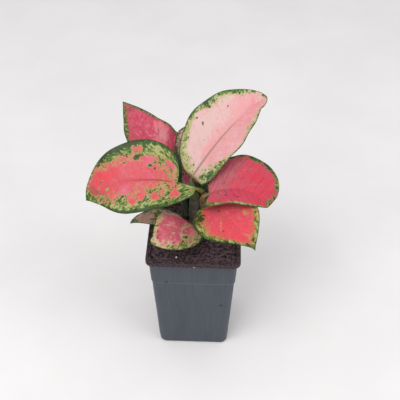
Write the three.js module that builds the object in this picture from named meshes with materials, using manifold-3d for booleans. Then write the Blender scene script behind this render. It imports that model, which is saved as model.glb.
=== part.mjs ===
// A young red-leaved chinese evergreen in a tall square nursery pot.
// Millimetres, +Z up. The origin is the middle of the pot's underside.
// The front of the plant, with the two small leaves over the rim, faces -Y.
import * as THREE from 'three';
import { mergeVertices } from 'three/addons/utils/BufferGeometryUtils.js';
import Module from 'manifold-3d';

// ---------------------------------------------------------------- pot sizes
const POT_HEIGHT = 140;          // underside to the top of the rim
const RIM_HALF = 50;             // half the outer width of the rim
const LIP_HEIGHT = 6;            // height of the lip band
const BODY_TOP_HALF = 46.8;      // half width of the body just under the lip
const BODY_FOOT_HALF = 39.5;     // half width of the body at the ground
const COLLAR_HEIGHT = 29;        // wider band under the lip
const COLLAR_STEP = 0.8;         // how far that band stands out
const WALL = 1.3;                // thickness of the wall under the collar
const FLOOR = 2.4;               // thickness of the floor
const CORNER_TOP = 6;            // corner radius at the rim
const CORNER_FOOT = 8;           // corner radius at the ground
const EDGE_ROUND = 3.2;          // rounding where wall and floor meet
const PAD_HALF = 12;             // flat pad in the middle of the underside
const PAD_CORNER = 5;            // its corner radius
const CHANNEL_HALF = 31;         // outer edge of the recess round the pad
const CHANNEL_CORNER = 7;        // its corner radius
const CHANNEL_DEPTH = 1.1;       // depth of that recess
const LIP_EDGE = 0.9;            // rounding of the edges of the rim
const CORNER_STEPS = 4;          // facets in each rounded corner
const DRAIN_CORNER_R = 4;        // drain holes near the corners of the floor
const DRAIN_CORNER_AT = 23.5;    // their distance from the middle, each way
const DRAIN_SIDE_R = 3;          // drain holes near the middle of each side
const DRAIN_SIDE_AT = 22;        // their distance from the middle

// --------------------------------------------------------------- soil sizes
const CLEAR = 0.35;              // gap left between touching pieces
const SOIL_EDGE_Z = 138;         // soil level at the wall, almost up to the rim
const SOIL_HEAP = 0.6;           // how much higher it lies round the stem
const SOIL_BUMP = 1.0;           // height of the lumps
const SOIL_HOLE_FLOOR = 112;     // foot of the hole that the stem stands in

// --------------------------------------------------------------- stem sizes
const STEM_TOP_Z = 187;          // where the last leaf stalk leaves it
const STEM_LEAN = 1.5;           // how far its top leans to the right
const STEM_LEAN_FROM = 148;      // height where it starts to lean
const STEM_R_SOIL = 6.4;         // radius in the soil
const STEM_R_TOP = 6.0;          // radius near the top
const STEM_SIDES = 14;

// --------------------------------------------------------------- leaf sizes
const BLADE_THICK = 0.95;        // at the midrib
const MARGIN_THICK = 0.7;        // at the margin
const RIB_DEPTH = 1.5;           // how far the midrib stands out below, at the foot
const STALK_R_FOOT = 3.0;        // radius of a leaf stalk at the stem
const STALK_R_BLADE = 1.8;       // and where it meets the blade
const STALK_LEAN = 0.2;          // outward lean of a stalk at the stem, against 1 up
const STALK_RISE = 0.45;         // how long it keeps that direction, against its span
const STALK_EASE = 0.3;          // and how early it turns along the blade
const BLUNT_EASE = 0.08;         // how gently a blunt tip starts, against the length
// where the lines of the blade lie between midrib (0) and margin (1)
const ACROSS = [0, 0.06, 0.28, 0.52, 0.77, 1];

// One entry for each leaf, in degrees and millimetres.
//  foot    where the blade starts; from = where its stalk leaves the stem:
//          [azimuth, height], or null for the stalk on top of the stem
//  heading azimuth of the blade (0 right, 90 back, 180 left), swing = how much
//          that turns by the tip; climb = slope at the foot, droop = how much
//          of it is lost by the tip, bend = how late that happens
//  left, right   half widths seen from the foot, with the fold of each half
//  roll    tilt about the midrib; curl = how far the halves bend back down
//  widest, tip, round, lobe   outline: place of the widest line, slenderness
//          of the tip, roundness of the foot, and how far the foot's lobes
//          reach back past the stalk
//  begin   how far along the leaf the half starts, where that isn't its foot;
//          blunt = half width of the rounded end of the tip
//  wave    height of the wavy margin, waves = how many
const LEAVES = {
  leaf_tall: {
    foot: [-3.6, 9.4, 206.5], from: null, length: 115.8, rows: 20,
    heading: 49.4, swing: -23.4, climb: 37.5, droop: 10.3, bend: 2.6, roll: 16.8, curl: 6,
    left: { half: 40.2, fold: 26, widest: 0.49, tip: 0.64, round: 0.7, lobe: 7.2 },
    right: { half: 28.6, fold: 26, widest: 0.54, tip: 0.9, round: 0.25, lobe: 8.6,
      blunt: 12 },
    wave: 1.4, waves: 3, color: 0xeeb4b0,
  },
  leaf_left: {
    foot: [2.5, -4, 203.3], from: [47, 174], length: 126.1, rows: 20,
    heading: 180.6, swing: -0.1, climb: 22.2, droop: 72.7, bend: 1.3, roll: -40.6, curl: 12,
    left: { half: 34.2, fold: 8, widest: 0.6, tip: 1.07, round: 0.71, lobe: 9.7 },
    right: { half: 42, fold: 8, widest: 0.47, tip: 0.79, round: 0.39, lobe: 2.9,
      begin: 0.17 },
    wave: 1.2, waves: 3, color: 0xe0707a,
  },
  leaf_back_left: {
    foot: [-26, 34.7, 200.8], from: [138, 158], length: 86.7, rows: 17,
    heading: 145.6, swing: -7.4, climb: 38, droop: 1, bend: 1.3, roll: -8.5, curl: 5,
    left: { half: 32.7, fold: 18, widest: 0.32, tip: 1.03, round: 0.9, lobe: 0 },
    right: { half: 30.7, fold: 8, widest: 0.15, tip: 0.83, round: 0.88, lobe: -20.5 },
    wave: 1.2, waves: 2.5, color: 0xcf5f7a,
  },
  leaf_back: {
    foot: [5.1, 13.5, 188.3], from: [99, 150], length: 86, rows: 14,
    heading: 85, swing: 0, climb: 45, droop: 40, bend: 1.3, roll: 0, curl: 10,
    left: { half: 32.1, fold: 10, widest: 0.68, tip: 1.43, round: 0.22, lobe: 5.4 },
    right: { half: 24, fold: 10, widest: 0.42, tip: 0.8, round: 0.4, lobe: 10 },
    wave: 1, waves: 2.5, color: 0xb06a80,
  },
  leaf_right: {
    foot: [14.5, -7.8, 200], from: [14, 166], length: 70.6, rows: 17,
    heading: 9.9, swing: -23.5, climb: 23.3, droop: 85.1, bend: 1.3, roll: 22.1, curl: 25,
    left: { half: 39.2, fold: 20, widest: 0.51, tip: 0.32, round: 0.76, lobe: 3.3 },
    right: { half: 19.2, fold: 20, widest: 0.45, tip: 0.73, round: 0.7, lobe: 3.9 },
    wave: 1.1, waves: 2.5, color: 0xc05070,
  },
  leaf_front_right: {
    foot: [11.7, -6.9, 182.4], from: [300, 157], length: 79.3, rows: 16,
    heading: -46.8, swing: -0.4, climb: 19.2, droop: 58.9, bend: 1.3, roll: 0.1, curl: 10,
    left: { half: 35.1, fold: 10, widest: 0.46, tip: 1.22, round: 0.42, lobe: 15.4 },
    right: { half: 40, fold: 10, widest: 0.48, tip: 1.47, round: 0.76, lobe: 5.4 },
    wave: 1.1, waves: 2.5, color: 0xe86878,
  },
  leaf_front_left: {
    foot: [-4.1, -9.6, 160.4], from: [250, 142.5], length: 57.1, rows: 14,
    heading: 242.8, swing: -34.7, climb: 25.1, droop: 43.8, bend: 1.3, roll: -20.9, curl: 20,
    left: { half: 24.3, fold: 5, widest: 0.37, tip: 0.7, round: 0.28, lobe: 8.7,
      blunt: 4 },
    right: { half: 25.8, fold: 5, widest: 0.43, tip: 1, round: 0.79, lobe: 2.3,
      blunt: 6.2 },
    wave: 0.8, waves: 2, color: 0xd87890,
  },
  leaf_low_left: {
    foot: [-13, 2, 150], from: [172, 142.5], length: 57, rows: 12,
    heading: 179.7, swing: 8.1, climb: 12.6, droop: 27.2, bend: 1.3, roll: 9.8, curl: 10,
    left: { half: 14, fold: 10, widest: 0.36, tip: 1.57, round: 0.55, lobe: 3.8 },
    right: { half: 17.1, fold: 10, widest: 0.46, tip: 0.53, round: 0.55, lobe: 4.5 },
    wave: 0.6, waves: 2, color: 0x8f6a62,
  },
};

const rad = THREE.MathUtils.degToRad;

// a closed body from vertices and triangles, turned so that its faces look out
function body(vertices, faces) {
  let volume = 0;
  const a = new THREE.Vector3();
  const b = new THREE.Vector3();
  const c = new THREE.Vector3();
  for (const [i, j, k] of faces) {
    a.copy(vertices[i]);
    b.copy(vertices[j]);
    c.copy(vertices[k]);
    volume += a.dot(b.cross(c));
  }
  const geometry = new THREE.BufferGeometry();
  const flat = vertices.flatMap((v) => [v.x, v.y, v.z]);
  geometry.setAttribute('position', new THREE.Float32BufferAttribute(flat, 3));
  geometry.setIndex(faces.flatMap(([i, j, k]) => (volume < 0 ? [i, k, j] : [i, j, k])));
  geometry.computeVertexNormals();
  return geometry;
}

const wasm = await Module();
wasm.setup();

function solid(geometry) {
  const bare = geometry.clone();
  bare.deleteAttribute('normal');
  if (bare.getAttribute('uv')) bare.deleteAttribute('uv');
  const joined = mergeVertices(bare, 1e-4);
  return new wasm.Manifold(new wasm.Mesh({
    numProp: 3,
    vertProperties: new Float32Array(joined.getAttribute('position').array),
    triVerts: new Uint32Array(joined.index.array),
  }));
}

// the first body less all the others
function cut(geometry, tools) {
  let whole = solid(geometry);
  for (const tool of tools) whole = whole.subtract(solid(tool));
  const mesh = whole.getMesh();
  const result = new THREE.BufferGeometry();
  result.setAttribute('position', new THREE.Float32BufferAttribute(mesh.vertProperties, 3));
  result.setIndex(Array.from(mesh.triVerts));
  result.computeVertexNormals();
  return result;
}

// rings of equally many points joined in order, with the ends closed
function loft(rings, capStart, capEnd) {
  const n = rings[0].length;
  const vertices = rings.flat();
  const faces = [];
  for (let r = 0; r + 1 < rings.length; r++) {
    for (let i = 0; i < n; i++) {
      const p = r * n + i;
      const q = r * n + ((i + 1) % n);
      faces.push([p, q, q + n], [p, q + n, p + n]);
    }
  }
  const last = (rings.length - 1) * n;
  if (capStart) {
    vertices.push(capStart);
    for (let i = 0; i < n; i++) faces.push([vertices.length - 1, (i + 1) % n, i]);
  }
  if (capEnd) {
    vertices.push(capEnd);
    for (let i = 0; i < n; i++) faces.push([vertices.length - 1, last + i, last + ((i + 1) % n)]);
  }
  return body(vertices, faces);
}

// a square with rounded corners, counter-clockwise seen from above
function roundedSquare(half, radius, z, steps = CORNER_STEPS, perSide = 0) {
  const r = Math.min(radius, half * 0.98);
  const points = [];
  for (let corner = 0; corner < 4; corner++) {
    const turn = rad(90 * corner);
    const cx = half - r;
    for (let i = 0; i <= steps; i++) {
      const a = rad((90 * i) / steps);
      points.push(new THREE.Vector3(cx + r * Math.cos(a), cx + r * Math.sin(a), z)
        .applyAxisAngle(new THREE.Vector3(0, 0, 1), turn));
    }
    for (let i = 1; i <= perSide; i++) {
      const x = cx * (1 - (2 * i) / (perSide + 1));
      points.push(new THREE.Vector3(x, half, z).applyAxisAngle(new THREE.Vector3(0, 0, 1), turn));
    }
  }
  return points;
}

const bodyHalf = (z) => BODY_FOOT_HALF
  + ((BODY_TOP_HALF - BODY_FOOT_HALF) * z) / (POT_HEIGHT - LIP_HEIGHT);
const bodyCorner = (z) => CORNER_FOOT + ((CORNER_TOP - CORNER_FOOT) * z) / POT_HEIGHT;
const innerHalf = (z) => bodyHalf(z) - COLLAR_STEP - WALL;

// ---------------------------------------------------------------------- pot
// The wall is followed from the middle of the underside out and up, over the
// rim and down the inside to the middle of the floor.
function potGeometry() {
  const step = POT_HEIGHT - LIP_HEIGHT - COLLAR_HEIGHT;
  const ring = (half, radius, z) => roundedSquare(half, radius, z);
  const foot = (k) => {
    const a = rad(90 * k);
    return ring(bodyHalf(0) - COLLAR_STEP - EDGE_ROUND * (1 - Math.sin(a)),
      CORNER_FOOT - EDGE_ROUND * (1 - Math.sin(a)) * 0.5, EDGE_ROUND * (1 - Math.cos(a)));
  };
  const outer = (z, out) => ring(bodyHalf(z) - out, bodyCorner(z), z);
  const inner = (z) => ring(innerHalf(z), bodyCorner(z) - WALL, z);
  const rings = [
    ring(PAD_HALF, PAD_CORNER, 0),
    ring(PAD_HALF + 1, PAD_CORNER + 0.5, CHANNEL_DEPTH),
    ring(CHANNEL_HALF - 1, CHANNEL_CORNER, CHANNEL_DEPTH),
    ring(CHANNEL_HALF, CHANNEL_CORNER, 0),
    foot(0), foot(1 / 3), foot(2 / 3), foot(1),
    outer(step - 1.2, COLLAR_STEP),
    outer(step, 0),
    outer(POT_HEIGHT - LIP_HEIGHT, 0),
    ring(RIM_HALF - 0.5, CORNER_TOP + 1.4, POT_HEIGHT - LIP_HEIGHT + 0.2),
    ring(RIM_HALF, CORNER_TOP + 1.6, POT_HEIGHT - LIP_HEIGHT + 1),
    ring(RIM_HALF, CORNER_TOP + 1.6, POT_HEIGHT - LIP_EDGE),
    ring(RIM_HALF - LIP_EDGE, CORNER_TOP + 1.2, POT_HEIGHT),
    ring(innerHalf(POT_HEIGHT) + 0.8, CORNER_TOP - WALL + 0.4, POT_HEIGHT),
    inner(POT_HEIGHT - LIP_EDGE),
    inner(step),
    inner(FLOOR + 3),
    ring(innerHalf(FLOOR) - 2.4, CORNER_FOOT - WALL - 2, FLOOR),
  ];
  const shell = loft(rings, new THREE.Vector3(0, 0, 0), new THREE.Vector3(0, 0, FLOOR));
  return cut(shell, drains());
}

// round bores through the recessed part of the floor
function drains() {
  const bores = [];
  for (let i = 0; i < 4; i++) {
    const turn = rad(90 * i);
    const corner = new THREE.CylinderGeometry(DRAIN_CORNER_R, DRAIN_CORNER_R, 12, 16);
    corner.rotateX(Math.PI / 2);
    corner.translate(DRAIN_CORNER_AT, DRAIN_CORNER_AT, 2);
    corner.rotateZ(turn);
    const side = new THREE.CylinderGeometry(DRAIN_SIDE_R, DRAIN_SIDE_R, 12, 14);
    side.rotateX(Math.PI / 2);
    side.translate(DRAIN_SIDE_AT, 0, 2);
    side.rotateZ(turn);
    bores.push(corner, side);
  }
  return bores;
}

// -------------------------------------------------------------------- soil
// a fixed sum of ripples in place of chance: lumps of coarse peat
function lump(x, y) {
  return 0.42 * Math.sin(0.31 * x + 1.3) * Math.cos(0.27 * y - 0.6)
    + 0.33 * Math.sin(0.55 * x - 0.43 * y + 2.1)
    + 0.25 * Math.cos(0.83 * x + 0.71 * y);
}

function soilGeometry() {
  const sides = 6;
  const steps = 2;
  const foot = innerHalf(FLOOR) - 2.4 - CLEAR;
  const wall = (z) => roundedSquare(innerHalf(z) - CLEAR, bodyCorner(z) - WALL - CLEAR,
    z, steps, sides);
  const edge = wall(SOIL_EDGE_Z);
  const rings = [
    roundedSquare(foot, CORNER_FOOT - WALL - 2, FLOOR + CLEAR, steps, sides),
    wall(FLOOR + 3 + CLEAR),
    edge,
  ];
  const hole = STEM_R_SOIL + CLEAR;
  for (const part of [0.9, 0.76, 0.61, 0.46, 0.32]) {
    rings.push(edge.map((p) => {
      // the rings turn from square to round on the way in
      const round = new THREE.Vector3(p.x, p.y, 0).normalize().multiplyScalar(innerHalf(p.z));
      const x = part * THREE.MathUtils.lerp(round.x, p.x, part);
      const y = part * THREE.MathUtils.lerp(round.y, p.y, part);
      return new THREE.Vector3(x, y,
        SOIL_EDGE_Z + SOIL_HEAP * (1 - part * part) + SOIL_BUMP * lump(x, y));
    }));
  }
  const circle = (z) => edge.map((p) => new THREE.Vector3(p.x, p.y, 0)
    .normalize().multiplyScalar(hole).setZ(z));
  rings.push(circle(SOIL_EDGE_Z + SOIL_HEAP - 0.4), circle(SOIL_HOLE_FLOOR));
  return loft(rings, new THREE.Vector3(0, 0, FLOOR + CLEAR),
    new THREE.Vector3(0, 0, SOIL_HOLE_FLOOR));
}

// --------------------------------------------------------------------- stem
const stemLean = (z) => STEM_LEAN
  * (Math.max(0, z - STEM_LEAN_FROM) / (STEM_TOP_Z - STEM_LEAN_FROM)) ** 1.5;

// short and upright, a little thicker at the rings where old leaves stood
function stemGeometry() {
  const foot = SOIL_HOLE_FLOOR + CLEAR;
  const heights = [0, 0.34, 0.41, 0.44, 0.48, 0.6, 0.64, 0.68, 0.8, 0.83, 0.86, 0.97];
  const swell = [0, 0, -0.2, 0.1, -0.3, -0.3, 0.1, -0.3, -0.4, 0, -0.4, -0.2];
  const at = (k) => STEM_R_SOIL + (STEM_R_TOP - STEM_R_SOIL) * k;
  const circle = (radius, z) => Array.from({ length: STEM_SIDES }, (_, i) => {
    const a = rad((360 * i) / STEM_SIDES);
    return new THREE.Vector3(stemLean(z) + radius * Math.cos(a), radius * Math.sin(a), z);
  });
  const rings = heights.map((k, i) => circle(at(k) + swell[i], foot + (STEM_TOP_Z - foot) * k));
  rings.push(circle(STEM_R_TOP - 1.2, STEM_TOP_Z));
  return loft(rings, new THREE.Vector3(0, 0, foot),
    new THREE.Vector3(stemLean(STEM_TOP_Z), 0, STEM_TOP_Z));
}

const stemRadius = (z) => STEM_R_SOIL + ((STEM_R_TOP - STEM_R_SOIL)
  * (z - SOIL_HOLE_FLOOR)) / (STEM_TOP_Z - SOIL_HOLE_FLOOR);

// --------------------------------------------------------------------- leaf
const SPANS = ACROSS.length - 1;

// the outline: half width, as a share of the widest, at place t along the leaf
function outline(side, t) {
  if (t <= side.widest) {
    const begin = side.begin ?? 0;
    const k = (side.widest - Math.max(t, begin)) / (side.widest - begin);
    return (1 - k * k) ** side.round;
  }
  const u = (t - side.widest) / (1 - side.widest);
  return Math.max(0, Math.cos((Math.PI / 2) * u)) ** side.tip;
}

// the half width there in millimetres, with the rounded end of a blunt tip
function halfWidth(leaf, side, t) {
  const half = Math.max(side.half * outline(side, t),
    THREE.MathUtils.lerp(STALK_R_BLADE, 0.8, t));
  if (!side.blunt) return half;
  const end = side.blunt / leaf.length;
  const k = THREE.MathUtils.clamp((t - 1 + end) / end, 0, 1);
  const rise = THREE.MathUtils.clamp((t - (1 - end - BLUNT_EASE)) / BLUNT_EASE, 0, 1);
  return Math.max(half, side.blunt * Math.sqrt(1 - k * k) * rise);
}

// place, direction and the two cross directions along the midrib
function midrib(leaf, steps = 200) {
  const at = [];
  const place = new THREE.Vector3(...leaf.foot);
  let last = null;
  for (let i = 0; i <= steps; i++) {
    const t = i / steps;
    const head = rad(leaf.heading + leaf.swing * t);
    const climb = rad(leaf.climb - leaf.droop * t ** leaf.bend);
    const along = new THREE.Vector3(Math.cos(climb) * Math.cos(head),
      Math.cos(climb) * Math.sin(head), Math.sin(climb));
    if (last) {
      place.addScaledVector(last.clone().add(along), leaf.length / steps / 2);
    }
    last = along;
    const level = new THREE.Vector3(-Math.sin(head), Math.cos(head), 0);
    const up = along.clone().cross(level);
    const roll = rad(leaf.roll);
    at.push({
      t,
      place: place.clone(),
      along,
      left: level.clone().multiplyScalar(Math.cos(roll)).addScaledVector(up, Math.sin(roll)),
      up: up.clone().multiplyScalar(Math.cos(roll)).addScaledVector(level, -Math.sin(roll)),
    });
  }
  return (t) => {
    const k = Math.min(steps - 1, Math.floor(t * steps));
    const f = t * steps - k;
    const mix = (name) => at[k][name].clone().lerp(at[k + 1][name], f);
    return { place: mix('place'), along: mix('along').normalize(),
      left: mix('left').normalize(), up: mix('up').normalize() };
  };
}

// how far a half blade reaches out and up at share s of its width
function reach(side, curl, s) {
  const steps = 12;
  let out = 0;
  let rise = 0;
  for (let i = 0; i < steps; i++) {
    const angle = rad(side.fold - curl * (s * (i + 0.5)) / steps);
    out += (Math.cos(angle) * s) / steps;
    rise += (Math.sin(angle) * s) / steps;
  }
  return { out, rise, angle: rad(side.fold - curl * s) };
}

// one ring round the blade at place t: the top from right margin to left
// margin, then the underside back again
function bladeRing(leaf, frame, t) {
  const { place, along, left, up } = frame;
  const top = [];
  const under = [];
  for (let j = -SPANS; j <= SPANS; j++) {
    const sign = Math.sign(j) || 1;
    const side = sign > 0 ? leaf.left : leaf.right;
    const s = ACROSS[Math.abs(j)];
    const share = outline(side, t);
    const half = halfWidth(leaf, side, t);
    const { out, rise, angle } = reach(side, leaf.curl, s);
    const ripple = leaf.wave * s * s * share
      * Math.sin(2 * Math.PI * leaf.waves * t + (sign > 0 ? 0 : 1.7));
    const back = -side.lobe * s * s * (1 - t) ** 3 * share;
    const point = place.clone()
      .addScaledVector(left, sign * half * out)
      .addScaledVector(up, half * rise + ripple)
      .addScaledVector(along, back);
    const normal = up.clone().multiplyScalar(Math.cos(angle))
      .addScaledVector(left, -sign * Math.sin(angle));
    if (j === 0) normal.copy(up);
    const thick = THREE.MathUtils.lerp(BLADE_THICK, MARGIN_THICK, s);
    const rib = j === 0 ? RIB_DEPTH * (1 - 0.8 * t) : 0;
    top.push(point.clone().addScaledVector(normal, thick / 2));
    under.push(point.clone().addScaledVector(normal, -thick / 2 - rib));
  }
  return [...top, ...under.reverse()];
}

// the stalk: a tapering bent rod whose rings match the rings of the blade
function stalkRings(leaf, frame) {
  const end = frame.place.clone().addScaledVector(frame.up, -0.6);
  const start = new THREE.Vector3();
  const out = new THREE.Vector3(0, 0, 0);
  if (leaf.from) {
    const [azimuth, z] = leaf.from;
    out.set(Math.cos(rad(azimuth)), Math.sin(rad(azimuth)), 0);
    start.copy(out).multiplyScalar(stemRadius(z) + CLEAR + STALK_R_FOOT).setZ(z);
    start.x += stemLean(z);
  } else {
    start.set(stemLean(STEM_TOP_Z), 0, STEM_TOP_Z + CLEAR);
  }
  const span = start.distanceTo(end);
  const curve = new THREE.CubicBezierCurve3(start,
    start.clone().add(new THREE.Vector3(out.x * STALK_LEAN, out.y * STALK_LEAN, 1)
      .setLength(span * STALK_RISE)),
    end.clone().addScaledVector(frame.along, -span * STALK_EASE), end);
  const count = Math.max(6, Math.round(span / 7));
  const rings = [];
  for (let i = 0; i < count; i++) {
    const k = i / count;
    const place = curve.getPoint(k);
    const along = curve.getTangent(k);
    const left = frame.left.clone().addScaledVector(along, -frame.left.dot(along)).normalize();
    const up = along.clone().cross(left);
    const radius = THREE.MathUtils.lerp(STALK_R_FOOT, STALK_R_BLADE, k);
    const top = [];
    const under = [];
    for (let j = -SPANS; j <= SPANS; j++) {
      const a = rad((80 * j) / SPANS);
      const side = left.clone().multiplyScalar(radius * Math.sin(a));
      top.push(place.clone().add(side).addScaledVector(up, radius * Math.cos(a)));
      under.push(place.clone().add(side).addScaledVector(up, -radius * Math.cos(a)));
    }
    rings.push([...top, ...under.reverse()]);
  }
  return rings;
}

function leafGeometry(leaf) {
  const frameAt = midrib(leaf);
  const rings = stalkRings(leaf, frameAt(0));
  for (let i = 0; i < leaf.rows; i++) {
    const t = (1 - Math.cos((Math.PI * i) / (leaf.rows - 1))) / 2;
    rings.push(bladeRing(leaf, frameAt(t), t));
  }
  const n = rings[0].length;
  const width = n / 2;
  const vertices = rings.flat();
  const faces = [];
  // each strip of the blade is split along the same diagonal on both faces
  for (let r = 0; r + 1 < rings.length; r++) {
    const p = r * n;
    for (let i = 0; i < width - 1; i++) {
      const a = p + i;
      const u = p + n - 1 - i;
      faces.push([a, a + 1, a + 1 + n], [a, a + 1 + n, a + n]);
      faces.push([u, u - 1 + n, u - 1], [u, u + n, u - 1 + n]);
    }
    const left = p + width - 1;
    const right = p;
    faces.push([left, left + 1, left + 1 + n], [left, left + 1 + n, left + n]);
    faces.push([right + n - 1, right, right + n], [right + n - 1, right + n, right + 2 * n - 1]);
  }
  const cap = (p, flip) => {
    for (let i = 0; i < width - 1; i++) {
      const a = p + i;
      const u = p + n - 1 - i;
      const pair = [[a, u, u - 1], [a, u - 1, a + 1]];
      for (const [x, y, z] of pair) faces.push(flip ? [x, z, y] : [x, y, z]);
    }
  };
  cap(0, false);
  cap((rings.length - 1) * n, true);
  return body(vertices, faces);
}

// ----------------------------------------------------------------- assembly
const plant = new THREE.Group();

function place(name, geometry, color, roughness) {
  const mesh = new THREE.Mesh(geometry,
    new THREE.MeshStandardMaterial({ color, roughness, metalness: 0, flatShading: true }));
  mesh.name = name;
  plant.add(mesh);
}

place('pot', potGeometry(), 0x50585f, 0.55);
place('soil', soilGeometry(), 0x241b17, 0.95);
place('stem', stemGeometry(), 0x5b7048, 0.5);
for (const [name, leaf] of Object.entries(LEAVES)) {
  place(name, leafGeometry(leaf), leaf.color, 0.45);
}

export default plant;
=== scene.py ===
"""A young red-leaved chinese evergreen in a tall square nursery pot.

Metres, +Z up. The origin is the middle of the pot's underside, and the front is at -Y.
Each operator makes one piece, or a group of like pieces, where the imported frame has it.
"""

import math
import random
from collections import namedtuple
from dataclasses import dataclass

import bmesh
import bpy
import numpy as np
from bpy.props import FloatProperty, FloatVectorProperty, IntProperty, PointerProperty
from bpy.types import Operator, Panel, PropertyGroup
from mathutils import Euler, Matrix, Vector, noise


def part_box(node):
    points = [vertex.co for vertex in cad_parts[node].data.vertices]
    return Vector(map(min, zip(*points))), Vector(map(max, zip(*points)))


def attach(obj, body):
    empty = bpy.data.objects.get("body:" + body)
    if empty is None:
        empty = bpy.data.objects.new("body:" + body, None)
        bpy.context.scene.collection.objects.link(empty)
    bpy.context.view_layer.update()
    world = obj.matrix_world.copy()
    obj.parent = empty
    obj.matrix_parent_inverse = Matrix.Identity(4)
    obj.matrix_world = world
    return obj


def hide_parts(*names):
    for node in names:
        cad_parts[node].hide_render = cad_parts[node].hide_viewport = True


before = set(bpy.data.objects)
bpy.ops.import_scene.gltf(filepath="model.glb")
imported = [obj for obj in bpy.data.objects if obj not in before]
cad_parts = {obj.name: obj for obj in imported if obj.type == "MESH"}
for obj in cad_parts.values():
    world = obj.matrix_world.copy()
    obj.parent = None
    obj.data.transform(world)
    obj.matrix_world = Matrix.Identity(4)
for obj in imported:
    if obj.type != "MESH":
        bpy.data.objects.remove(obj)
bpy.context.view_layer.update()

bl_info = {
    "name": "Potted Chinese Evergreen",
    "version": (1, 0, 0),
    "blender": (4, 5, 0),
    "location": "View3D > Sidebar > Evergreen",
    "description": "Builds a potted chinese evergreen round its fixed frame",
    "category": "Add Mesh",
}

NUDGE = 0.001                        # nominal size of an extrusion before its points are placed
MERGE = 1e-6                         # distance below which points become one
MILLIMETRES = 1000                   # in a metre
CENTIMETRES = 100

# ------------------------------------------------------------------ pot sizes
POT_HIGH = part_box("pot")[1]
RIM_HALF = POT_HIGH.x                # half the outer width of the rim
POT_HEIGHT = POT_HIGH.z
LIP_FOOT = POT_HEIGHT - 0.006        # height where the lip band of the rim starts
COLLAR_FOOT = LIP_FOOT - 0.029       # height where the wider band under it starts
COLLAR_STEP = 0.0008                 # how far that band stands out
COLLAR_EASE = ((-0.0016, 1), (-0.0011, 0.94), (-0.0002, 0.12), (0.0004, 0))   # its rounded foot
COLLAR_TOP = LIP_FOOT - 0.0004
BODY_TOP_HALF = 0.0468               # half width of the body just under the lip
BODY_FOOT_HALF = 0.0395              # and at the ground
WALL = 0.0013
FLOOR = 0.0024                       # thickness of the pot's floor
FLOOR_RISE = 0.003                   # rounding between wall and floor inside, its height
FLOOR_INSET = 0.0024                 # and how far it reaches in
RIM_BEVEL = 0.0008                   # bevel of the inner edge of the rim, across
RIM_BEVEL_DEEP = 0.0003              # and down
CORNER_TOP = 0.006                   # corner radius at the rim
CORNER_FOOT = 0.008                  # corner radius at the ground
RIM_CORNER = CORNER_TOP + 0.0014     # corner radius of the lip
FLOOR_CORNER = CORNER_FOOT - WALL - 0.002   # corner radius of the floor inside
EDGE_ROUND = 0.0032                  # rounding where wall and floor meet outside
LIP_EDGE = 0.0009                    # rounding of the edges of the rim
PAD_HALF = 0.012                     # flat pad in the middle of the underside
PAD_CORNER = 0.005
CHANNEL_HALF = 0.031                 # outer edge of the recess round the pad
CHANNEL_CORNER = 0.007
CHANNEL_DEPTH = 0.0011
CHANNEL_SLOPE = 0.001                # how far its sides slope
DRAINS = ((0.0235, 1, 0.004), (0.022, 0, 0.003))   # drain holes: out, share sideways, radius
DRAIN_SIDES = 24
DRAIN_BORE = 0.012                   # length of the cylinders that cut them
DRAIN_MIDDLE = 0.002                 # and the height of their middle
CORNER_STEPS = 8                     # edges in each rounded corner
SIDE_SHARES = (0.96, 0.5, 0.0, -0.5, -0.96)   # points along each straight side
WALL_RINGS = 12                      # rings up the body of the pot
COLLAR_RINGS = 4
ARC_RINGS = 6                        # edges in the rounding of the foot
LIP_RINGS = 3                        # and in each edge of the lip
WARP_FOOT = 0.006                    # height below which the walls stand true
WARP_EASE = 0.02                     # height over which their warp sets in
WARP_SCALE = 30                      # warps per metre
POT_SMOOTH = 32                      # degrees up to which an edge is smooth
POT_SPOTS = (((-0.0285, -0.0453, 0.107), 0.0017), ((0.0355, -0.0444, 0.102), 0.001),
             ((0.0305, -0.0426, 0.069), 0.0019))   # dark specks on the front, and their radius
NICK = (0.0013, -0.050, 0.1348)      # pale nick on the rim

# ----------------------------------------------------------------- soil sizes
CLEAR = 0.00035                      # gap between soil and wall, and between stem and stalks
SOIL_EDGE_Z = 0.138
SOIL_HEAP = 0.0006                   # how far the soil is heaped in the middle
SOIL_CELLS = 128                     # cells along each side of its surface
SOIL_SMOOTH = 50                     # degrees up to which an edge is smooth
SOIL_LUMPS = ((260.0, 0.0011), (620.0, 0.0007), (1500.0, 0.00045))   # lumps per metre, height
CRUMB_MODELS = 4
CRUMBS = (0.00045, 0.0011, 2.2)      # least size of a crumb, spread of sizes, how few are large
CRUMB_INSET = 0.0012                 # how far the crumbs keep from the wall
CRUMB_RISE = 0.25                    # how high its middle lies, as a share of its size
RIM_CRUMBS = (0.00022, 0.0006, 2.4)  # the same for the crumbs on the rim
RIM_CRUMB_RISE = 0.3
RIM_CRUMB_INSET = 0.0014
RIM_CRUMB_CORNER = 0.004             # how far they keep from the corners
FIBRE_BENDS = (0.35, -0.6)
FIBRE_RINGS = 6
FIBRE_SIDES = 5
FIBRE_LENGTH = (0.005, 0.013)
FIBRE_INSET = 0.008
FIBRE_LIFT = 0.0005
FULL_TURN = 6.3                      # a little over a whole turn, in radians
GRAIN_RISE = 0.6
# places of the mineral grains, one of them near the front edge, and their sizes
GRAINS = ((-0.0175, -0.0405, 0.0014), (0.021, -0.031, 0.0005), (-0.031, 0.022, 0.0008),
          (0.027, 0.029, 0.0009), (0.036, 0.006, 0.0006), (-0.012, 0.036, 0.0007))
SEED = 11                            # of all loose crumbs, fibres and grains

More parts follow.
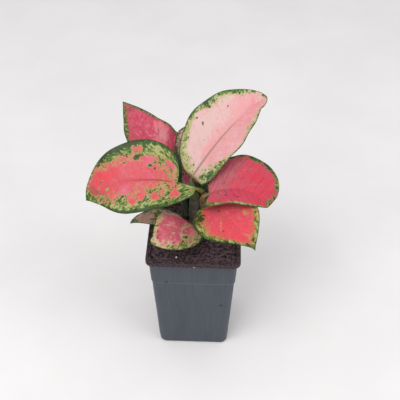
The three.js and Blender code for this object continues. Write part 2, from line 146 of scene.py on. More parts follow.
# ----------------------------------------------------------------- stem sizes
STEM_FOOT_Z = 0.1124
STEM_TOP_Z = 0.187
STEM_LEAN = 0.0015                   # how far its top leans to the right
STEM_LEAN_FROM = 0.148
STEM_TAPER_FROM = 0.112
STEM_R_SOIL = 0.0064
STEM_R_TOP = 0.0060
STEM_SIDES = 32
STEM_RINGS = 84
STEM_SLIM = 0.0002                   # how much thinner it is than its solid between the scars
STEM_CAP = ((0.0006, 0.0012), (0.0009, 0.003))     # its rounded top: up and in
SCARS = (0.1425, 0.1510, 0.1575, 0.1660, 0.1730)   # heights where old leaves stood
SCAR_RIDGE = (0.0004, 0.0005)        # how far a scar stands out, and its width
SCAR_DIP = (0.0003, 0.0008)          # depth and width of the dip above it
SCAR_DIP_UP = 0.0014                 # and how far up that is
SWELL = 0.0009                       # how much the closed sheaths thicken the stem's top
SWELL_FROM = 0.158
SWELL_EASE = 0.01

# ----------------------------------------------------------------- leaf sizes
STALK_R_FOOT = 0.0030
STALK_R_BLADE = 0.0018
STALK_LEAN = 0.2                     # how far a stalk leans out where it leaves the stem
STALK_RISE = 0.45                    # reach of the two handles of its curve, as shares of its span
STALK_EASE = 0.3
STALK_DROP = 0.0006                  # how far it runs below the foot of the blade
STALK_RINGS = 22
STALK_BLEND = 0.035                  # share of the blade over which it grows out of the stalk
STALK_FADE = 0.05                    # and share over which its colour does
SHEATH = 0.22                        # how much wider than high a stalk is at its foot
SHEATH_END = 2.4                     # how soon that ends
ROOT_RINGS = 5                       # rings of its root, inside the stem
ROOT_REACH = 0.45                    # where the root starts, as a share of the stem's radius
ROOT_DROP = 0.009                    # and how far it is below the foot of the stalk
TOP_ROOT_DROP = 0.006                # the same for the leaf at the top
TIP_HALF = 0.0005                    # least half width of a blade at its tip
BLUNT_EASE = 0.08                    # how gently a blunt tip starts, as a share of the length
RIB = (0.0014, 0.0013)               # how far the midrib stands out below, and its width
GROOVE = (0.00028, 0.0007)           # depth and width of the groove above it
VEIN_RIDGE = (0.00016, 0.08)         # height of a side vein below, and its share of their gap
RELIEF = 0.0004                      # how far the blade swells between its side veins
SWELLS = (85, 0.0009)                # its other soft swells: how many per metre, and height
VEIN_SWEEP = 0.30                    # how far a side vein runs forward on its way out
MARGIN_LINE = 0.0009                 # width of the thin dark margin
GLOSS = 0.42                         # mean roughness of the wax
MARGIN_GREEN = (0.85, 0.55)          # how green a margin is, and its fall over its band
RIB_FADES = (0.06, 0.25)             # shares over which the midrib's colour comes and goes
RIB_TIP = 0.00012                    # what is added to the width of that colour
COLUMNS = 36                         # lines between midrib and margin
ROWS_PER_METRE = 1250

# ---------------------------------------------------------------- stage sizes
FLOOR_SIZE = 9.0
LIGHTS = (("key_light", (-0.7, -0.9, 1.7), 1.3, 1.0), ("fill_light", (1.1, -0.5, 1.2), 1.2, 0.35))
LIGHTS_AIM = (0, 0, 0.15)
SKY = (0.97, 0.98, 1.0, 1.0)
CAMERA_PLACE = (0.0055, -0.6348, 0.7316)
CAMERA_DOWN = 40.74                  # degrees that it looks down
CAMERA_TILT = 0.34
CAMERA_TURN = 1.92                   # turn of the whole view about the pot's axis
CAMERA_LENS = 72.0                   # millimetres, as is its sensor's width
CAMERA_SENSOR = 36.0
CAMERA_CLIP = (0.01, 50.0)

LIGHT_GAIN = 1.2                     # how far the studio light lifts a leaf above its own colour
SHEEN = 0.04                         # and the veil of light that its wax adds
DARKEST = 0.004


def srgb(red, green, blue):
    """A colour as it looks on a screen, 0 to 255, as the linear colour that nodes use."""
    parts = []
    for value in (red, green, blue):
        share = value / 255
        parts.append(share / 12.92 if share <= 0.04045 else ((share + 0.055) / 1.055) ** 2.4)
    return tuple(parts)


def seen(red, green, blue):
    """The linear surface colour that the studio's light brings up to this screen colour."""
    return tuple(max(DARKEST, (part - SHEEN) / LIGHT_GAIN) for part in srgb(red, green, blue))


@dataclass
class Half:
    """One half of a blade, from its midrib to its margin.

    width   half width where it is widest
    fold    how far it is folded up, in degrees
    widest  the share of the length where that is
    tip, round  how its outline draws in towards the tip and towards the foot
    lobe    how far its foot reaches back
    begin   the share of the length where it starts
    blunt   half width of a rounded end of the tip
    """

    width: float
    fold: float
    widest: float
    tip: float
    round: float
    lobe: float
    begin: float = 0.0
    blunt: float = 0.0


@dataclass
class Form:
    """The form of one leaf, in metres and degrees.

    foot            where the blade starts
    start           turn round the stem and height where the stalk leaves it, None at its top
    heading, climb  direction of the blade at its foot
    swing, droop    how far they change up to the tip
    bend            how late it droops
    roll, curl      turn about the midrib, and how far each half curls down
    wave, waves     height and number of the ripples of the margin

    These are the forms of the solids in the frame, but the feet of one half of leaf_back,
    leaf_right, leaf_front_right and leaf_low_left are fuller, to meet at the stem as in
    the real plant. So are the stalks (Look.girth) and the top of the stem (SWELL).
    """

    foot: tuple
    start: tuple
    length: float
    heading: float
    swing: float
    climb: float
    droop: float
    bend: float
    roll: float
    curl: float
    left: Half
    right: Half
    wave: float
    waves: float


FORMS = {
    "leaf_tall": Form(
        foot=(-0.0036, 0.0094, 0.2065), start=None, length=0.1158,
        heading=49.4, swing=-23.4, climb=37.5, droop=10.3, bend=2.6,
        roll=16.8, curl=6, wave=0.0014, waves=3,
        left=Half(0.0402, 26, 0.49, 0.64, 0.7, 0.0072),
        right=Half(0.0286, 26, 0.54, 0.9, 0.25, 0.0086, blunt=0.012)),
    "leaf_left": Form(
        foot=(0.0025, -0.004, 0.2033), start=(47, 0.174), length=0.1261,
        heading=180.6, swing=-0.1, climb=22.2, droop=72.7, bend=1.3,
        roll=-40.6, curl=12, wave=0.0012, waves=3,
        left=Half(0.0342, 8, 0.6, 1.07, 0.71, 0.0097),
        right=Half(0.042, 8, 0.47, 0.79, 0.39, 0.0029, begin=0.17)),
    "leaf_back_left": Form(
        foot=(-0.026, 0.0347, 0.2008), start=(138, 0.158), length=0.0867,
        heading=145.6, swing=-7.4, climb=38, droop=1, bend=1.3,
        roll=-8.5, curl=5, wave=0.0012, waves=2.5,
        left=Half(0.0327, 18, 0.32, 1.03, 0.9, 0.0),
        right=Half(0.0307, 8, 0.15, 0.83, 0.88, -0.0205)),
    "leaf_back": Form(
        foot=(0.0051, 0.0135, 0.1883), start=(99, 0.15), length=0.086,
        heading=85, swing=0, climb=45, droop=40, bend=1.3,
        roll=0, curl=10, wave=0.001, waves=2.5,
        left=Half(0.0321, 10, 0.68, 1.43, 0.22, 0.0054),
        right=Half(0.024, 10, 0.42, 0.8, 0.25, 0.02)),
    "leaf_right": Form(
        foot=(0.0145, -0.0078, 0.2), start=(14, 0.166), length=0.0706,
        heading=9.9, swing=-23.5, climb=23.3, droop=85.1, bend=1.3,
        roll=22.1, curl=25, wave=0.0011, waves=2.5,
        left=Half(0.0392, 20, 0.51, 0.32, 0.76, 0.0033),
        right=Half(0.0192, 20, 0.45, 0.73, 0.34, 0.022)),
    "leaf_front_right": Form(
        foot=(0.0117, -0.0069, 0.1824), start=(300, 0.157), length=0.0793,
        heading=-46.8, swing=-0.4, climb=19.2, droop=58.9, bend=1.3,
        roll=0.1, curl=10, wave=0.0011, waves=2.5,
        left=Half(0.0351, 10, 0.46, 1.22, 0.36, 0.02),
        right=Half(0.04, 10, 0.48, 1.47, 0.76, 0.0054)),
    "leaf_front_left": Form(
        foot=(-0.0041, -0.0096, 0.1604), start=(250, 0.1425), length=0.0571,
        heading=242.8, swing=-34.7, climb=25.1, droop=43.8, bend=1.3,
        roll=-20.9, curl=20, wave=0.0008, waves=2,
        left=Half(0.0243, 5, 0.37, 0.7, 0.28, 0.0087, blunt=0.004),
        right=Half(0.0258, 5, 0.43, 1, 0.79, 0.0023, blunt=0.0062)),
    "leaf_low_left": Form(
        foot=(-0.013, 0.002, 0.15), start=(172, 0.1425), length=0.057,
        heading=179.7, swing=8.1, climb=12.6, droop=27.2, bend=1.3,
        roll=9.8, curl=10, wave=0.0006, waves=2,
        left=Half(0.014, 10, 0.36, 1.57, 0.55, 0.0038),
        right=Half(0.0205, 10, 0.46, 0.58, 0.5, 0.0045)),
}

# One mark on a blade: its share of the length, its place across from -1 right to 1 left,
# half its length and width in millimetres, how strong it is, and its turn from the midrib
# in degrees.
Mark = namedtuple("Mark", "t s long wide strength turn", defaults=(0,))
# dusk is a darker and hot a brighter pink; on leaf_front_right some dusk marks are painted shade,
# and on leaf_back_left and leaf_front_left some hot marks and a cream mark are painted light and
# painted highlights, as noted at each leaf
ZONES = ("green", "cream", "dusk")
TINTS = ("light", "hot", "spot")


@dataclass
class Look:
    """The colours and the pattern of one leaf.

    colours     screen colours: the pink of the blade is blush, with deep, hot and rose
                clouds, cream patches, a tan edge to the green, veins and their wash
    bands       (share of the length, width of the green margin in mm on the left, right)
    marks       marks of each of the ZONES and TINTS, where light is a paler green
    seed        moves the noise, so that no two leaves are alike
    veins, vein_share    number of side veins, and how well they show
    rib_from, rib_end    the shares of the length where the midrib starts and stops showing
    rib_share, rib_wide  how well it shows, and its width
    clear       how rarely green breaks out in the middle of the blade
    ragged      how uneven the edge of the green is
    pale_green  how much of the green is yellowish
    girth       how much fuller the foot of the stalk is
    halo        how far tan spreads round the green
    """

    slot: str
    colours: dict
    bands: tuple
    marks: dict
    seed: float
    veins: int = 8
    vein_share: float = 0.2
    rib_from: float = 0.0
    rib_end: float = 0.5
    rib_share: float = 0.7
    rib_wide: float = 0.0007
    clear: float = 0.5
    ragged: float = 3.0
    pale_green: float = 0.5
    girth: float = 0.0
    halo: float = 0.0


LOOKS = {
    "leaf_tall": Look(
        slot="leaf_pale_pink", seed=1.3, veins=9, vein_share=0.16, clear=0.75, ragged=4.2,
        pale_green=0.45, rib_end=0.52, rib_share=0.85, rib_wide=0.0012, girth=0.5, halo=0.8,
        colours=dict(blush=(254, 184, 186), deep=(246, 196, 194), hot=(255, 170, 174),
                     rose=(250, 196, 198), cream=(244, 208, 202), tan=(222, 208, 166),
                     vein=(236, 150, 152), wash=(252, 206, 202), rib=(160, 146, 116),
                     stalk=(106, 112, 76)),
        bands=((0, 8, 6), (0.12, 8, 9), (0.22, 4, 7), (0.33, 4, 3), (0.43, 3, 1.5), (0.5, 2, 1.5),
               (0.58, 5.5, 1.5), (0.68, 5, 3), (0.76, 4, 3), (0.86, 4.5, 2), (0.93, 3, 1),
               (1, 1, 1)),
        marks=dict(
            green=((0.8, 0.94, 11, 3, 0.6), (0.2, 0.85, 14, 5, 0.25), (0.5, 0.93, 8, 3, 0.4),
                   (0.33, 0.94, 5, 2, 0.6), (0.43, 0.92, 3, 1.4, 0.8), (0.6, 0.9, 6, 3, 0.5, 20),
                   (0.81, 0.9, 5, 2.5, 0.5), (0.14, -0.8, 5, 4, 0.8), (0.07, -0.5, 3, 2, 0.7)),
            cream=((0.45, 0.88, 9, 5, 0.7), (0.73, 0.75, 9, 5, 0.6), (0.93, 0.2, 8, 4, 0.5, 60),
                   (0.45, -0.3, 22, 1.6, 0.4, 35), (0.12, 0.4, 13, 12, 1),
                   (0.34, 0.55, 18, 14, 0.8),
                   (0.58, 0.5, 20, 15, 0.75), (0.72, 0.8, 6, 6, 0.8), (0.12, -0.65, 9, 12, 1.1),
                   (0.75, -0.95, 14, 3, 1), (0.12, 0.8, 12, 6, 0.7), (0.36, 0.42, 9, 4, 0.5, 40)),
            light=((0.8, 0.9, 10, 4, -0.3), (0.12, 0.7, 14, 10, 0.7), (0.33, 0.95, 9, 6, 0.6),
                   (0.72, 0.85, 7, 6, 0.5), (0.6, 0.97, 8, 3, -0.6), (0.14, -0.7, 8, 8, -0.4)),
            hot=((0.9, 0.05, 6, 4, 0.8), (0.93, -0.3, 1.8, 1.8, 1.6), (0.8, -0.2, 18, 16, 0.5)),
            spot=((0.445, 0.61, 2.2, 1.1, 1, 40), (0.45, 0.81, 1.6, 1.1, 0.9, -30),
                  (0.34, 0.34, 1.6, 0.9, 0.6, 40), (0.69, 0.5, 1.9, 0.9, 0.75, 45),
                  (0.585, 0.79, 1.7, 1, 0.8, 40), (0.2, 0.44, 1.3, 1, 0.5)))),
    "leaf_left": Look(
        slot="leaf_coral_mottled", seed=4.1, veins=9, vein_share=0.16, clear=0.52, ragged=4.2,
        pale_green=0.38, rib_from=0.2, rib_end=0.42, rib_share=0.9, girth=0.35, halo=0.25,
        colours=dict(blush=(238, 104, 114), deep=(186, 104, 96), hot=(250, 94, 106),
                     rose=(242, 118, 146), cream=(206, 168, 128), tan=(212, 172, 122),
                     vein=(214, 138, 112), wash=(206, 108, 96), rib=(138, 92, 66),
                     stalk=(132, 134, 80)),
        bands=((0, 13, 18), (0.12, 14, 18), (0.2, 15, 18), (0.3, 17, 19), (0.4, 17, 17),
               (0.5, 15, 13),
               (0.57, 11, 11), (0.66, 15, 11), (0.74, 14, 9), (0.81, 10, 4), (0.9, 6, 2),
               (1, 4, 4)),
        marks=dict(
            green=((0.5, 0.88, 36, 7, 0.5), (0.42, -0.86, 34, 7, 0.5), (0.9, 0.5, 9, 6, 0.4),
                   (0.62, -0.12, 42, 13, -0.4), (0.8, 0, 20, 16, -0.2), (0.6, 0.97, 34, 3.5, 0.6),
                   (0.5, -0.97, 34, 2.5, 0.4), (0.3, -0.97, 16, 3, 0.6),
                   (0.66, -0.8, 7, 1.3, 0.9, 8),
                   (0.49, -0.8, 5.5, 3.6, -1.2), (0.43, -0.76, 2.4, 1.6, 0.9),
                   (0.49, -0.57, 2.7, 2.6, 1.3), (0.42, -0.5, 5, 4, -0.8),
                   (0.4, -0.35, 2.6, 1.6, 1.2),
                   (0.24, -0.57, 5, 3.2, -1.2), (0.58, -0.5, 1.7, 1.3, 1.1),
                   (0.83, -0.11, 2.6, 1.5, 1.7, 30), (0.79, -0.26, 2.2, 1.4, 1.7, 30),
                   (0.76, 0.09, 2.3, 2.1, 1.8), (0.5, 0.12, 1.9, 1.1, 1.1, 40),
                   (0.47, 0.51, 5, 4, -0.7), (0.34, 0.6, 6, 4, -0.8), (0.56, 0.68, 5, 4.5, -1),
                   (0.83, 0.36, 5, 4, 0.45), (0.68, 0.66, 4, 3.2, 1), (0.63, 0.45, 2.6, 2, 1),
                   (0.18, 0.54, 5, 4, -0.9), (0.07, 0, 9, 14, 0.55), (0.955, 0, 6, 9, 1.1)),
            cream=((0.14, -0.3, 3, 9, 0.7), (0.33, -0.78, 12, 7, 0.9), (0.2, -0.35, 3, 8, 0.8),
                   (0.27, 0.18, 7, 4, 0.9), (0.07, 0, 10, 15, 1.2)),
            dusk=((0.82, 0.36, 7, 6, 0.9), (0.92, 0, 9, 10, 1.1)),
            light=((0.55, 0.95, 34, 5, -0.6), (0.62, -0.9, 26, 5, -0.5), (0.4, 0.95, 30, 4, -0.5),
                   (0.7, 0.97, 30, 2.5, -0.8), (0.55, 0.82, 34, 3.5, 0.7),
                   (0.6, -0.97, 24, 4, -0.8),
                   (0.3, -0.97, 16, 3, -1), (0.49, -0.57, 4, 4, -1), (0.33, -0.8, 12, 8, 0.45),
                   (0.06, 0, 9, 14, 0.3)),
            hot=((0.49, -0.8, 4.5, 3, 0.8), (0.4, -0.5, 6, 6, -1.2), (0.75, -0.4, 12, 8, 0.9),
                 (0.62, 0.25, 7, 6, -0.8), (0.24, -0.57, 4, 3, -1.2), (0.47, 0.51, 4.5, 3.5, 1),
                 (0.34, 0.6, 5.5, 3.5, 0.9), (0.56, 0.68, 4.5, 4.5, 0.6), (0.71, 0.46, 4, 4, 0.7),
                 (0.38, 0.23, 6, 3.5, 0.5)),
            spot=((0.36, -0.29, 1.5, 1.1, 1),))),
    "leaf_back_left": Look(
        slot="leaf_deep_pink", seed=7.7, veins=8, vein_share=0.14, clear=0.95, ragged=2.2,
        pale_green=0.3, rib_end=0.6, rib_share=0.35, girth=1.2, halo=0.15,
        colours=dict(blush=(232, 104, 124), deep=(176, 104, 104), hot=(255, 142, 154),
                     rose=(218, 82, 116), cream=(240, 166, 170), tan=(176, 130, 104),
                     vein=(150, 76, 92), wash=(186, 84, 100), rib=(204, 104, 116),
                     stalk=(66, 74, 58)),
        bands=((0, 4, 1.8), (0.5, 4.5, 1.8), (0.8, 4.5, 2), (1, 3, 2)),
        marks=dict(
            # the second cream mark is a painted highlight: pale pink where the blade rises beside
            # its crease
            cream=((0.75, 0.88, 14, 2.4, 0.9), (0.37, -0.52, 7, 4, 0.8, -45)),
            dusk=((0.75, -0.95, 26, 4, 1.2), (0.93, 0, 9, 12, 0.7), (0.22, -0.96, 14, 3.5, 1.2)),
            # these hot marks are painted light: brighter pink beside the crease and where leaf_tall
            # shades the right half
            hot=((0.42, -0.6, 14, 8, 1.1, -26), (0.32, -0.2, 10, 7, 0.6)),
            spot=((0.435, -0.46, 11, 0.8, 0.65, -45), (0.64, -0.91, 1.3, 1, 0.9),
                  (0.81, -0.93, 1.3, 1, 0.9), (0.46, -0.95, 1.4, 1, 0.9),
                  (0.9, -0.95, 1.3, 1, 0.8)))),
    "leaf_back": Look(
        slot="leaf_purple_pink", seed=9.2, veins=8, vein_share=0.3, clear=0.5, ragged=2.6,
        pale_green=0.15, rib_end=0.4, girth=0.2,
        colours=dict(blush=(206, 100, 120), deep=(176, 84, 108), hot=(212, 96, 120),
                     rose=(186, 78, 108), cream=(226, 190, 186), tan=(190, 160, 140),
                     vein=(140, 80, 104), wash=(140, 66, 88), rib=(130, 100, 92),
                     stalk=(62, 74, 60)),
        bands=((0, 3, 3), (0.5, 3, 3), (1, 3, 3)),
        marks=dict(
            green=((0.03, -0.1, 7, 16, 1.4), (0.27, 0.9, 13, 7, 1.4)),
            cream=((0.66, 0.93, 9, 4, 1.2), (0.47, 0.9, 2, 2, 1)),
            dusk=((0.3, 0.5, 20, 14, 0.5),),
            light=((0.2, 0.5, 40, 30, -1),),
            hot=((0.14, 0.6, 6, 8, 0.8),),
            spot=((0.6, 0.85, 1.2, 1.2, 1),))),
    "leaf_right": Look(
        slot="leaf_crimson_pink", seed=12.4, veins=9, vein_share=0.32, clear=0.95, ragged=2.2,
        pale_green=0.3, rib_end=0.45, rib_share=0.3, girth=1.5,
        colours=dict(blush=(230, 90, 108), deep=(206, 112, 120), hot=(238, 80, 98),
                     rose=(214, 88, 122),
                     cream=(206, 116, 112), tan=(170, 120, 100), vein=(140, 78, 96),
                     wash=(164, 90, 104), rib=(204, 92, 104), stalk=(146, 124, 94)),
        bands=((0, 2, 3), (0.3, 2.6, 2.2), (0.5, 2.4, 2), (0.6, 3, 2), (0.82, 3.5, 2),
               (0.92, 3.5, 2), (1, 1.5, 1)),
        marks=dict(
            green=((0.88, 0.75, 3, 2.4, 0.7), (0.3, 0.93, 4, 1.6, 0.6),
                   (0.565, 0.92, 3.5, 1.4, 0.9, -20), (0.76, 0.94, 5, 1.8, 0.8),
                   (0.9, 0.92, 3.5, 2.4, 0.9), (0.2, -0.97, 2.5, 2, 0.6)),
            cream=((0.9, 0.2, 6, 1, 0.7, 30), (0.4, 0.22, 12, 0.8, 0.6, 12),
                   (0.45, 0.42, 12, 0.7, 0.5, 22), (0.5, 0.55, 15, 1.2, 0.5, 38),
                   (0.6, 0.2, 12, 1, 0.45, 25)),
            dusk=((0.2, 0.5, 18, 20, 0.9), (0.4, 0.9, 10, 10, 0.8)),
            light=((0.4, -0.95, 20, 3, 0.8), (0.9, 0.9, 5, 4, 0.4), (0.5, 0.97, 20, 3, -0.4)),
            hot=((0.25, 0.2, 10, 5, 0.9, 30), (0.75, 0.35, 16, 16, 0.7)),
            spot=((0.45, -0.55, 2.4, 1, 0.7), (0.28, -0.45, 1.2, 0.9, 0.9),
                  (0.4, -0.45, 1.3, 0.9, 0.9)))),
    "leaf_front_right": Look(
        slot="leaf_bright_coral", seed=15.9, veins=8, vein_share=0.16, clear=0.85, ragged=2.6,
        pale_green=0.36, rib_end=0.3, rib_share=0.95, halo=0.3,
        colours=dict(blush=(244, 98, 110), deep=(228, 98, 112), hot=(255, 96, 110),
                     rose=(250, 116, 134), cream=(218, 160, 116), tan=(206, 150, 96),
                     vein=(240, 124, 128), wash=(214, 84, 96), rib=(190, 132, 106),
                     stalk=(128, 106, 100)),
        bands=((0, 1, 4), (0.15, 1, 6), (0.25, 1, 9), (0.4, 2, 9), (0.55, 6, 6), (0.75, 6.5, 4.5),
               (0.95, 6, 4), (1, 4, 4)),
        marks=dict(
            green=((0.3, -0.97, 16, 3, 0.5), (0.25, -0.68, 5, 3.2, 1), (0.12, -0.9, 5, 8, 0.8),
                   (0.53, 0.56, 2.4, 1.6, 0.8)),
            cream=((0.49, -0.34, 11, 0.7, 1.1, -45), (0.78, 0.1, 6, 0.6, 0.9, 40),
                   (0.55, 0.25, 10, 0.6, 0.5, 42), (0.35, -0.88, 14, 5, 1.1),
                   (0.65, -0.88, 11, 5, 1),
                   (0.52, 0.52, 4, 3, 0.9), (0.75, 0.93, 16, 5, 1), (0.97, 0, 6, 9, 1.3)),
            # these dusk marks are painted shade: darker pink on the upper half near the foot, where
            # leaf_right shades it; deep is also the pink of that painted shade
            dusk=((0.12, 0.3, 14, 16, 0.7), (0.3, 0.75, 12, 12, 0.8)),
            light=((0.3, -0.99, 16, 2, -1), (0.25, -0.66, 6, 4, -1), (0.2, -0.9, 8, 10, -0.8),
                   (0.68, -0.97, 16, 1.6, -0.6), (0.72, 0.9, 14, 5, 0.5)),
            hot=((0.7, -0.2, 20, 16, 0.7),),
            spot=((0.2, -0.55, 4, 1.6, 0.9, 40), (0.16, -0.85, 3, 2.4, 0.9),
                  (0.34, -0.82, 2, 1.4, 0.8, 30), (0.46, -0.93, 2.4, 1.2, 0.8),
                  (0.6, 0.85, 1.6, 1.2, 0.8), (0.66, 0.78, 1.4, 1.2, 0.7),
                  (0.58, -0.45, 1.3, 1.2, 0.9), (0.25, 0.02, 1.8, 1.4, 1)))),
    "leaf_front_left": Look(
        slot="leaf_magenta_cream", seed=19.3, veins=7, vein_share=0.18, clear=0.5, ragged=4,
        pale_green=0.5, rib_end=0.3, halo=0.35,
        colours=dict(blush=(226, 112, 126), deep=(206, 98, 118), hot=(244, 130, 146),
                     rose=(216, 98, 136), cream=(226, 196, 162), tan=(224, 192, 148),
                     vein=(210, 130, 130), wash=(184, 84, 106), rib=(190, 140, 110),
                     stalk=(92, 84, 76)),
        bands=((0, 4, 1), (0.1, 7, 1), (0.35, 7, 1), (0.5, 6, 3.5), (0.65, 3, 3.5), (0.85, 3, 3),
               (1, 1, 1)),
        marks=dict(
            green=((0.55, 0.7, 8, 2.5, 0.3), (0.4, 0.45, 3.6, 2.4, 0.9), (0.17, 0.05, 6, 2, 0.5)),
            cream=((0.6, -0.75, 12, 3, 0.6), (0.5, -0.3, 9, 1, 0.6, -40),
                   (0.35, 0.15, 8, 0.9, 0.6, 35),
                   (0.78, -0.88, 7, 4, 0.9), (0.95, 0, 5, 10, 1.5), (0.72, 0.45, 8, 5, 0.55),
                   (0.4, 0.45, 5, 4, 1), (0.17, 0.05, 8, 3, 0.9), (0.78, 0.97, 9, 3, 1.1),
                   (0.3, 0.88, 12, 4, 0.8)),
            dusk=((0.85, -0.2, 4, 4, 1.1),),
            light=((0.55, 0.75, 8, 4, -0.2), (0.55, -0.9, 8, 4, 0.6)),
            # the hot mark at the top edge is a painted highlight along its lit rim, and the one on
            # the left half is bright pink with a painted highlight; hot is also the pink of these
            # painted highlights
            hot=((0.45, -0.35, 5, 3, 0.8), (0.2, -0.95, 8, 3, 1), (0.2, 0.5, 6, 4.5, 1.2)),
            spot=((0.7, -0.7, 1.3, 1, 0.8), (0.78, -0.5, 1.2, 0.9, 0.8), (0.66, 0.55, 1.6, 1, 0.8),
                  (0.5, 0.62, 2.2, 1.1, 0.8, 30), (0.85, -0.15, 1.3, 1.1, 0.8)))),
    "leaf_low_left": Look(
        slot="leaf_brown_green", seed=23.8, veins=6, vein_share=0.2, clear=0, ragged=3.6,
        pale_green=0.4, rib_end=0.3,
        colours=dict(blush=(226, 184, 170), deep=(190, 146, 130), hot=(232, 180, 168),
                     rose=(216, 164, 160), cream=(206, 182, 140), tan=(206, 178, 134),
                     vein=(190, 140, 120), wash=(176, 136, 120), rib=(190, 164, 120),
                     stalk=(84, 84, 62)),
        bands=((0, 3, 4), (0.5, 3, 4), (0.8, 1.5, 2), (1, 2, 2)),
        marks=dict(
            green=((0.9, 0, 4, 5, 1.1), (0.7, -0.95, 16, 2.5, 1.1), (0.6, 0, 3, 6, 0.8),
                   (0.47, 0, 4, 16, 0.9), (0.97, 0, 4, 5, 1.2), (0.64, -0.1, 5, 6, -0.8),
                   (0.84, -0.3, 3, 3, -0.7)),
            cream=((0.43, 0.4, 3, 5, 0.8),),
            light=((0.5, 0, 6, 16, -0.5),),
            hot=((0.8, -0.3, 5, 3, 1),))),
}


# ------------------------------------------------------------------- settings
def colour(name, description, default):
    return FloatVectorProperty(name=name, description=description, subtype="COLOR",
                               size=3, min=0.0, max=1.0, default=default)


def distance(name, description, default):
    return FloatProperty(name=name, description=description, subtype="DISTANCE",
                         unit="LENGTH", default=default, min=0.0, precision=5)


def count(name, description, default):
    return IntProperty(name=name, description=description, default=default, min=0)


class EvergreenPotSettings(PropertyGroup):
    warp: distance("Warp", "How unevenly the thin walls stand", 0.00022)
    plastic: colour("Plastic", "Colour of the moulded plastic", srgb(63, 70, 79))
    streak: colour("Streak", "Colour of its faint upright flow marks", srgb(72, 79, 88))
    dust: colour("Soil dust", "Colour of the soil that clings to the rim", srgb(86, 64, 68))


class EvergreenSoilSettings(PropertyGroup):
    level: distance("Level", "Height of the soil at the wall", SOIL_EDGE_Z)
    crumbs: count("Crumbs", "Loose crumbs on the soil", 620)
    rim_crumbs: count("Rim crumbs", "Crumbs on the rim", 420)
    fibres: count("Fibres", "Loose root fibres", 46)
    peat: colour("Peat", "Colour of the damp peat", srgb(98, 80, 86))
    dry: colour("Dry peat", "Colour of its dry flecks", srgb(156, 132, 130))
    grain: colour("Mineral grain", "Colour of the pale mineral grains", srgb(240, 238, 234))


class EvergreenStemSettings(PropertyGroup):
    green: colour("Green", "Colour of the young stem", srgb(60, 68, 52))
    scar: colour("Scar", "Colour of the dry rings and sheaths", srgb(98, 90, 72))


class EvergreenLeafSettings(PropertyGroup):
    thickness: distance("Thickness", "Thickness of a blade beside its midrib", 0.00055)
    margin: distance("Margin thickness", "Thickness of a blade near its margin", 0.00038)
    dark: colour("Dark green", "Darkest green of the mottling", seen(44, 86, 36))
    middle: colour("Green", "Middle green of the mottling", seen(92, 138, 66))
    light: colour("Yellow green", "Palest green of the mottling", seen(192, 192, 126))
    brown: colour("Brown", "Reddish brown where pink meets green", seen(174, 118, 94))
    rim: colour("Rim", "Colour of the very margin", seen(70, 94, 54))
    speck: colour("Speck", "Colour of the small dark specks", seen(112, 70, 46))
    under: colour("Underside", "Colour that veils the underside", seen(150, 122, 106))


class EvergreenStageSettings(PropertyGroup):
    floor: colour("Floor", "Colour of the plain floor", srgb(249, 246, 245))
    sky: FloatProperty(name="Sky", description="Strength of the light from all round",
                       default=0.62, min=0.0)
    key: FloatProperty(name="Key light", description="Power of the large soft light",
                       subtype="POWER", unit="POWER", default=17.0, min=0.0)


# --------------------------------------------------------------- mesh helpers
def deselect_all():
    """Nothing selected and no object in edit mode, so that an operator acts on one piece."""
    if bpy.context.object and bpy.context.object.mode != "OBJECT":
        bpy.ops.object.mode_set(mode="OBJECT")
    bpy.ops.object.select_all(action="DESELECT")


def join(pieces):
    """One piece from several."""
    deselect_all()
    for piece in pieces:
        piece.select_set(True)
    bpy.context.view_layer.objects.active = pieces[0]
    bpy.ops.object.join()
    return bpy.context.object


def name_piece(piece, name):
    piece.name = name
    piece.data.name = name
    return piece


def quarter(steps):
    """Turns from 0 to 90 degrees, in radians."""
    return [math.radians(90 * part / steps) for part in range(steps + 1)]


def turned(x, y, quarters):
    """A place after some quarter turns about the pot's axis."""
    for _ in range(quarters):
        x, y = -y, x
    return x, y


def rounded_square(half, radius, z):
    """Points round a square with rounded corners, counter-clockwise seen from above."""
    centre = half - radius
    first = [(centre + radius * math.cos(turn), centre + radius * math.sin(turn))
             for turn in quarter(CORNER_STEPS)]
    first += [(centre * share, half) for share in SIDE_SHARES]
    return [(*turned(x, y, corner), z) for corner in range(4) for x, y in first]


def select_open_edge():
    bpy.ops.mesh.select_all(action="DESELECT")
    bpy.ops.mesh.select_mode(type="VERT")
    bpy.ops.mesh.select_non_manifold()


def face_outward():
    """Turns every face outward and leaves edit mode."""
    bpy.ops.mesh.select_all(action="SELECT")
    bpy.ops.mesh.normals_make_consistent(inside=False)
    bpy.ops.object.mode_set(mode="OBJECT")


def extruded(piece):
    """Extrudes the selected edge and gives its new points, which the caller then places.

    With each comes the layer that holds its number in its ring, if there is one.
    """
    bpy.ops.mesh.extrude_region_move(TRANSFORM_OT_translate={"value": (0, 0, NUDGE)})
    shape = bmesh.from_edit_mesh(piece.data)
    order = shape.verts.layers.int.get("order")
    for vert in shape.verts:
        if vert.select:
            yield vert, order
    bmesh.update_edit_mesh(piece.data)


def extrude_rings(name, rings):
    """A closed body from a filled circle that is extruded again and again.

    After each extrusion the new edge is shaped to the next ring of points.
    """
    deselect_all()
    bpy.ops.mesh.primitive_circle_add(vertices=len(rings[0]), radius=NUDGE, fill_type="NGON")
    piece = name_piece(bpy.context.object, name)
    bpy.ops.object.mode_set(mode="EDIT")
    shape = bmesh.from_edit_mesh(piece.data)
    order = shape.verts.layers.int.new("order")
    for number, vert in enumerate(shape.verts):
        vert[order] = number
        vert.co = rings[0][number]
    bmesh.update_edit_mesh(piece.data)
    for ring in rings[1:]:
        for vert, order in extruded(piece):
            vert.co = ring[vert[order]]
    face_outward()
    piece.data.attributes.remove(piece.data.attributes["order"])
    return piece


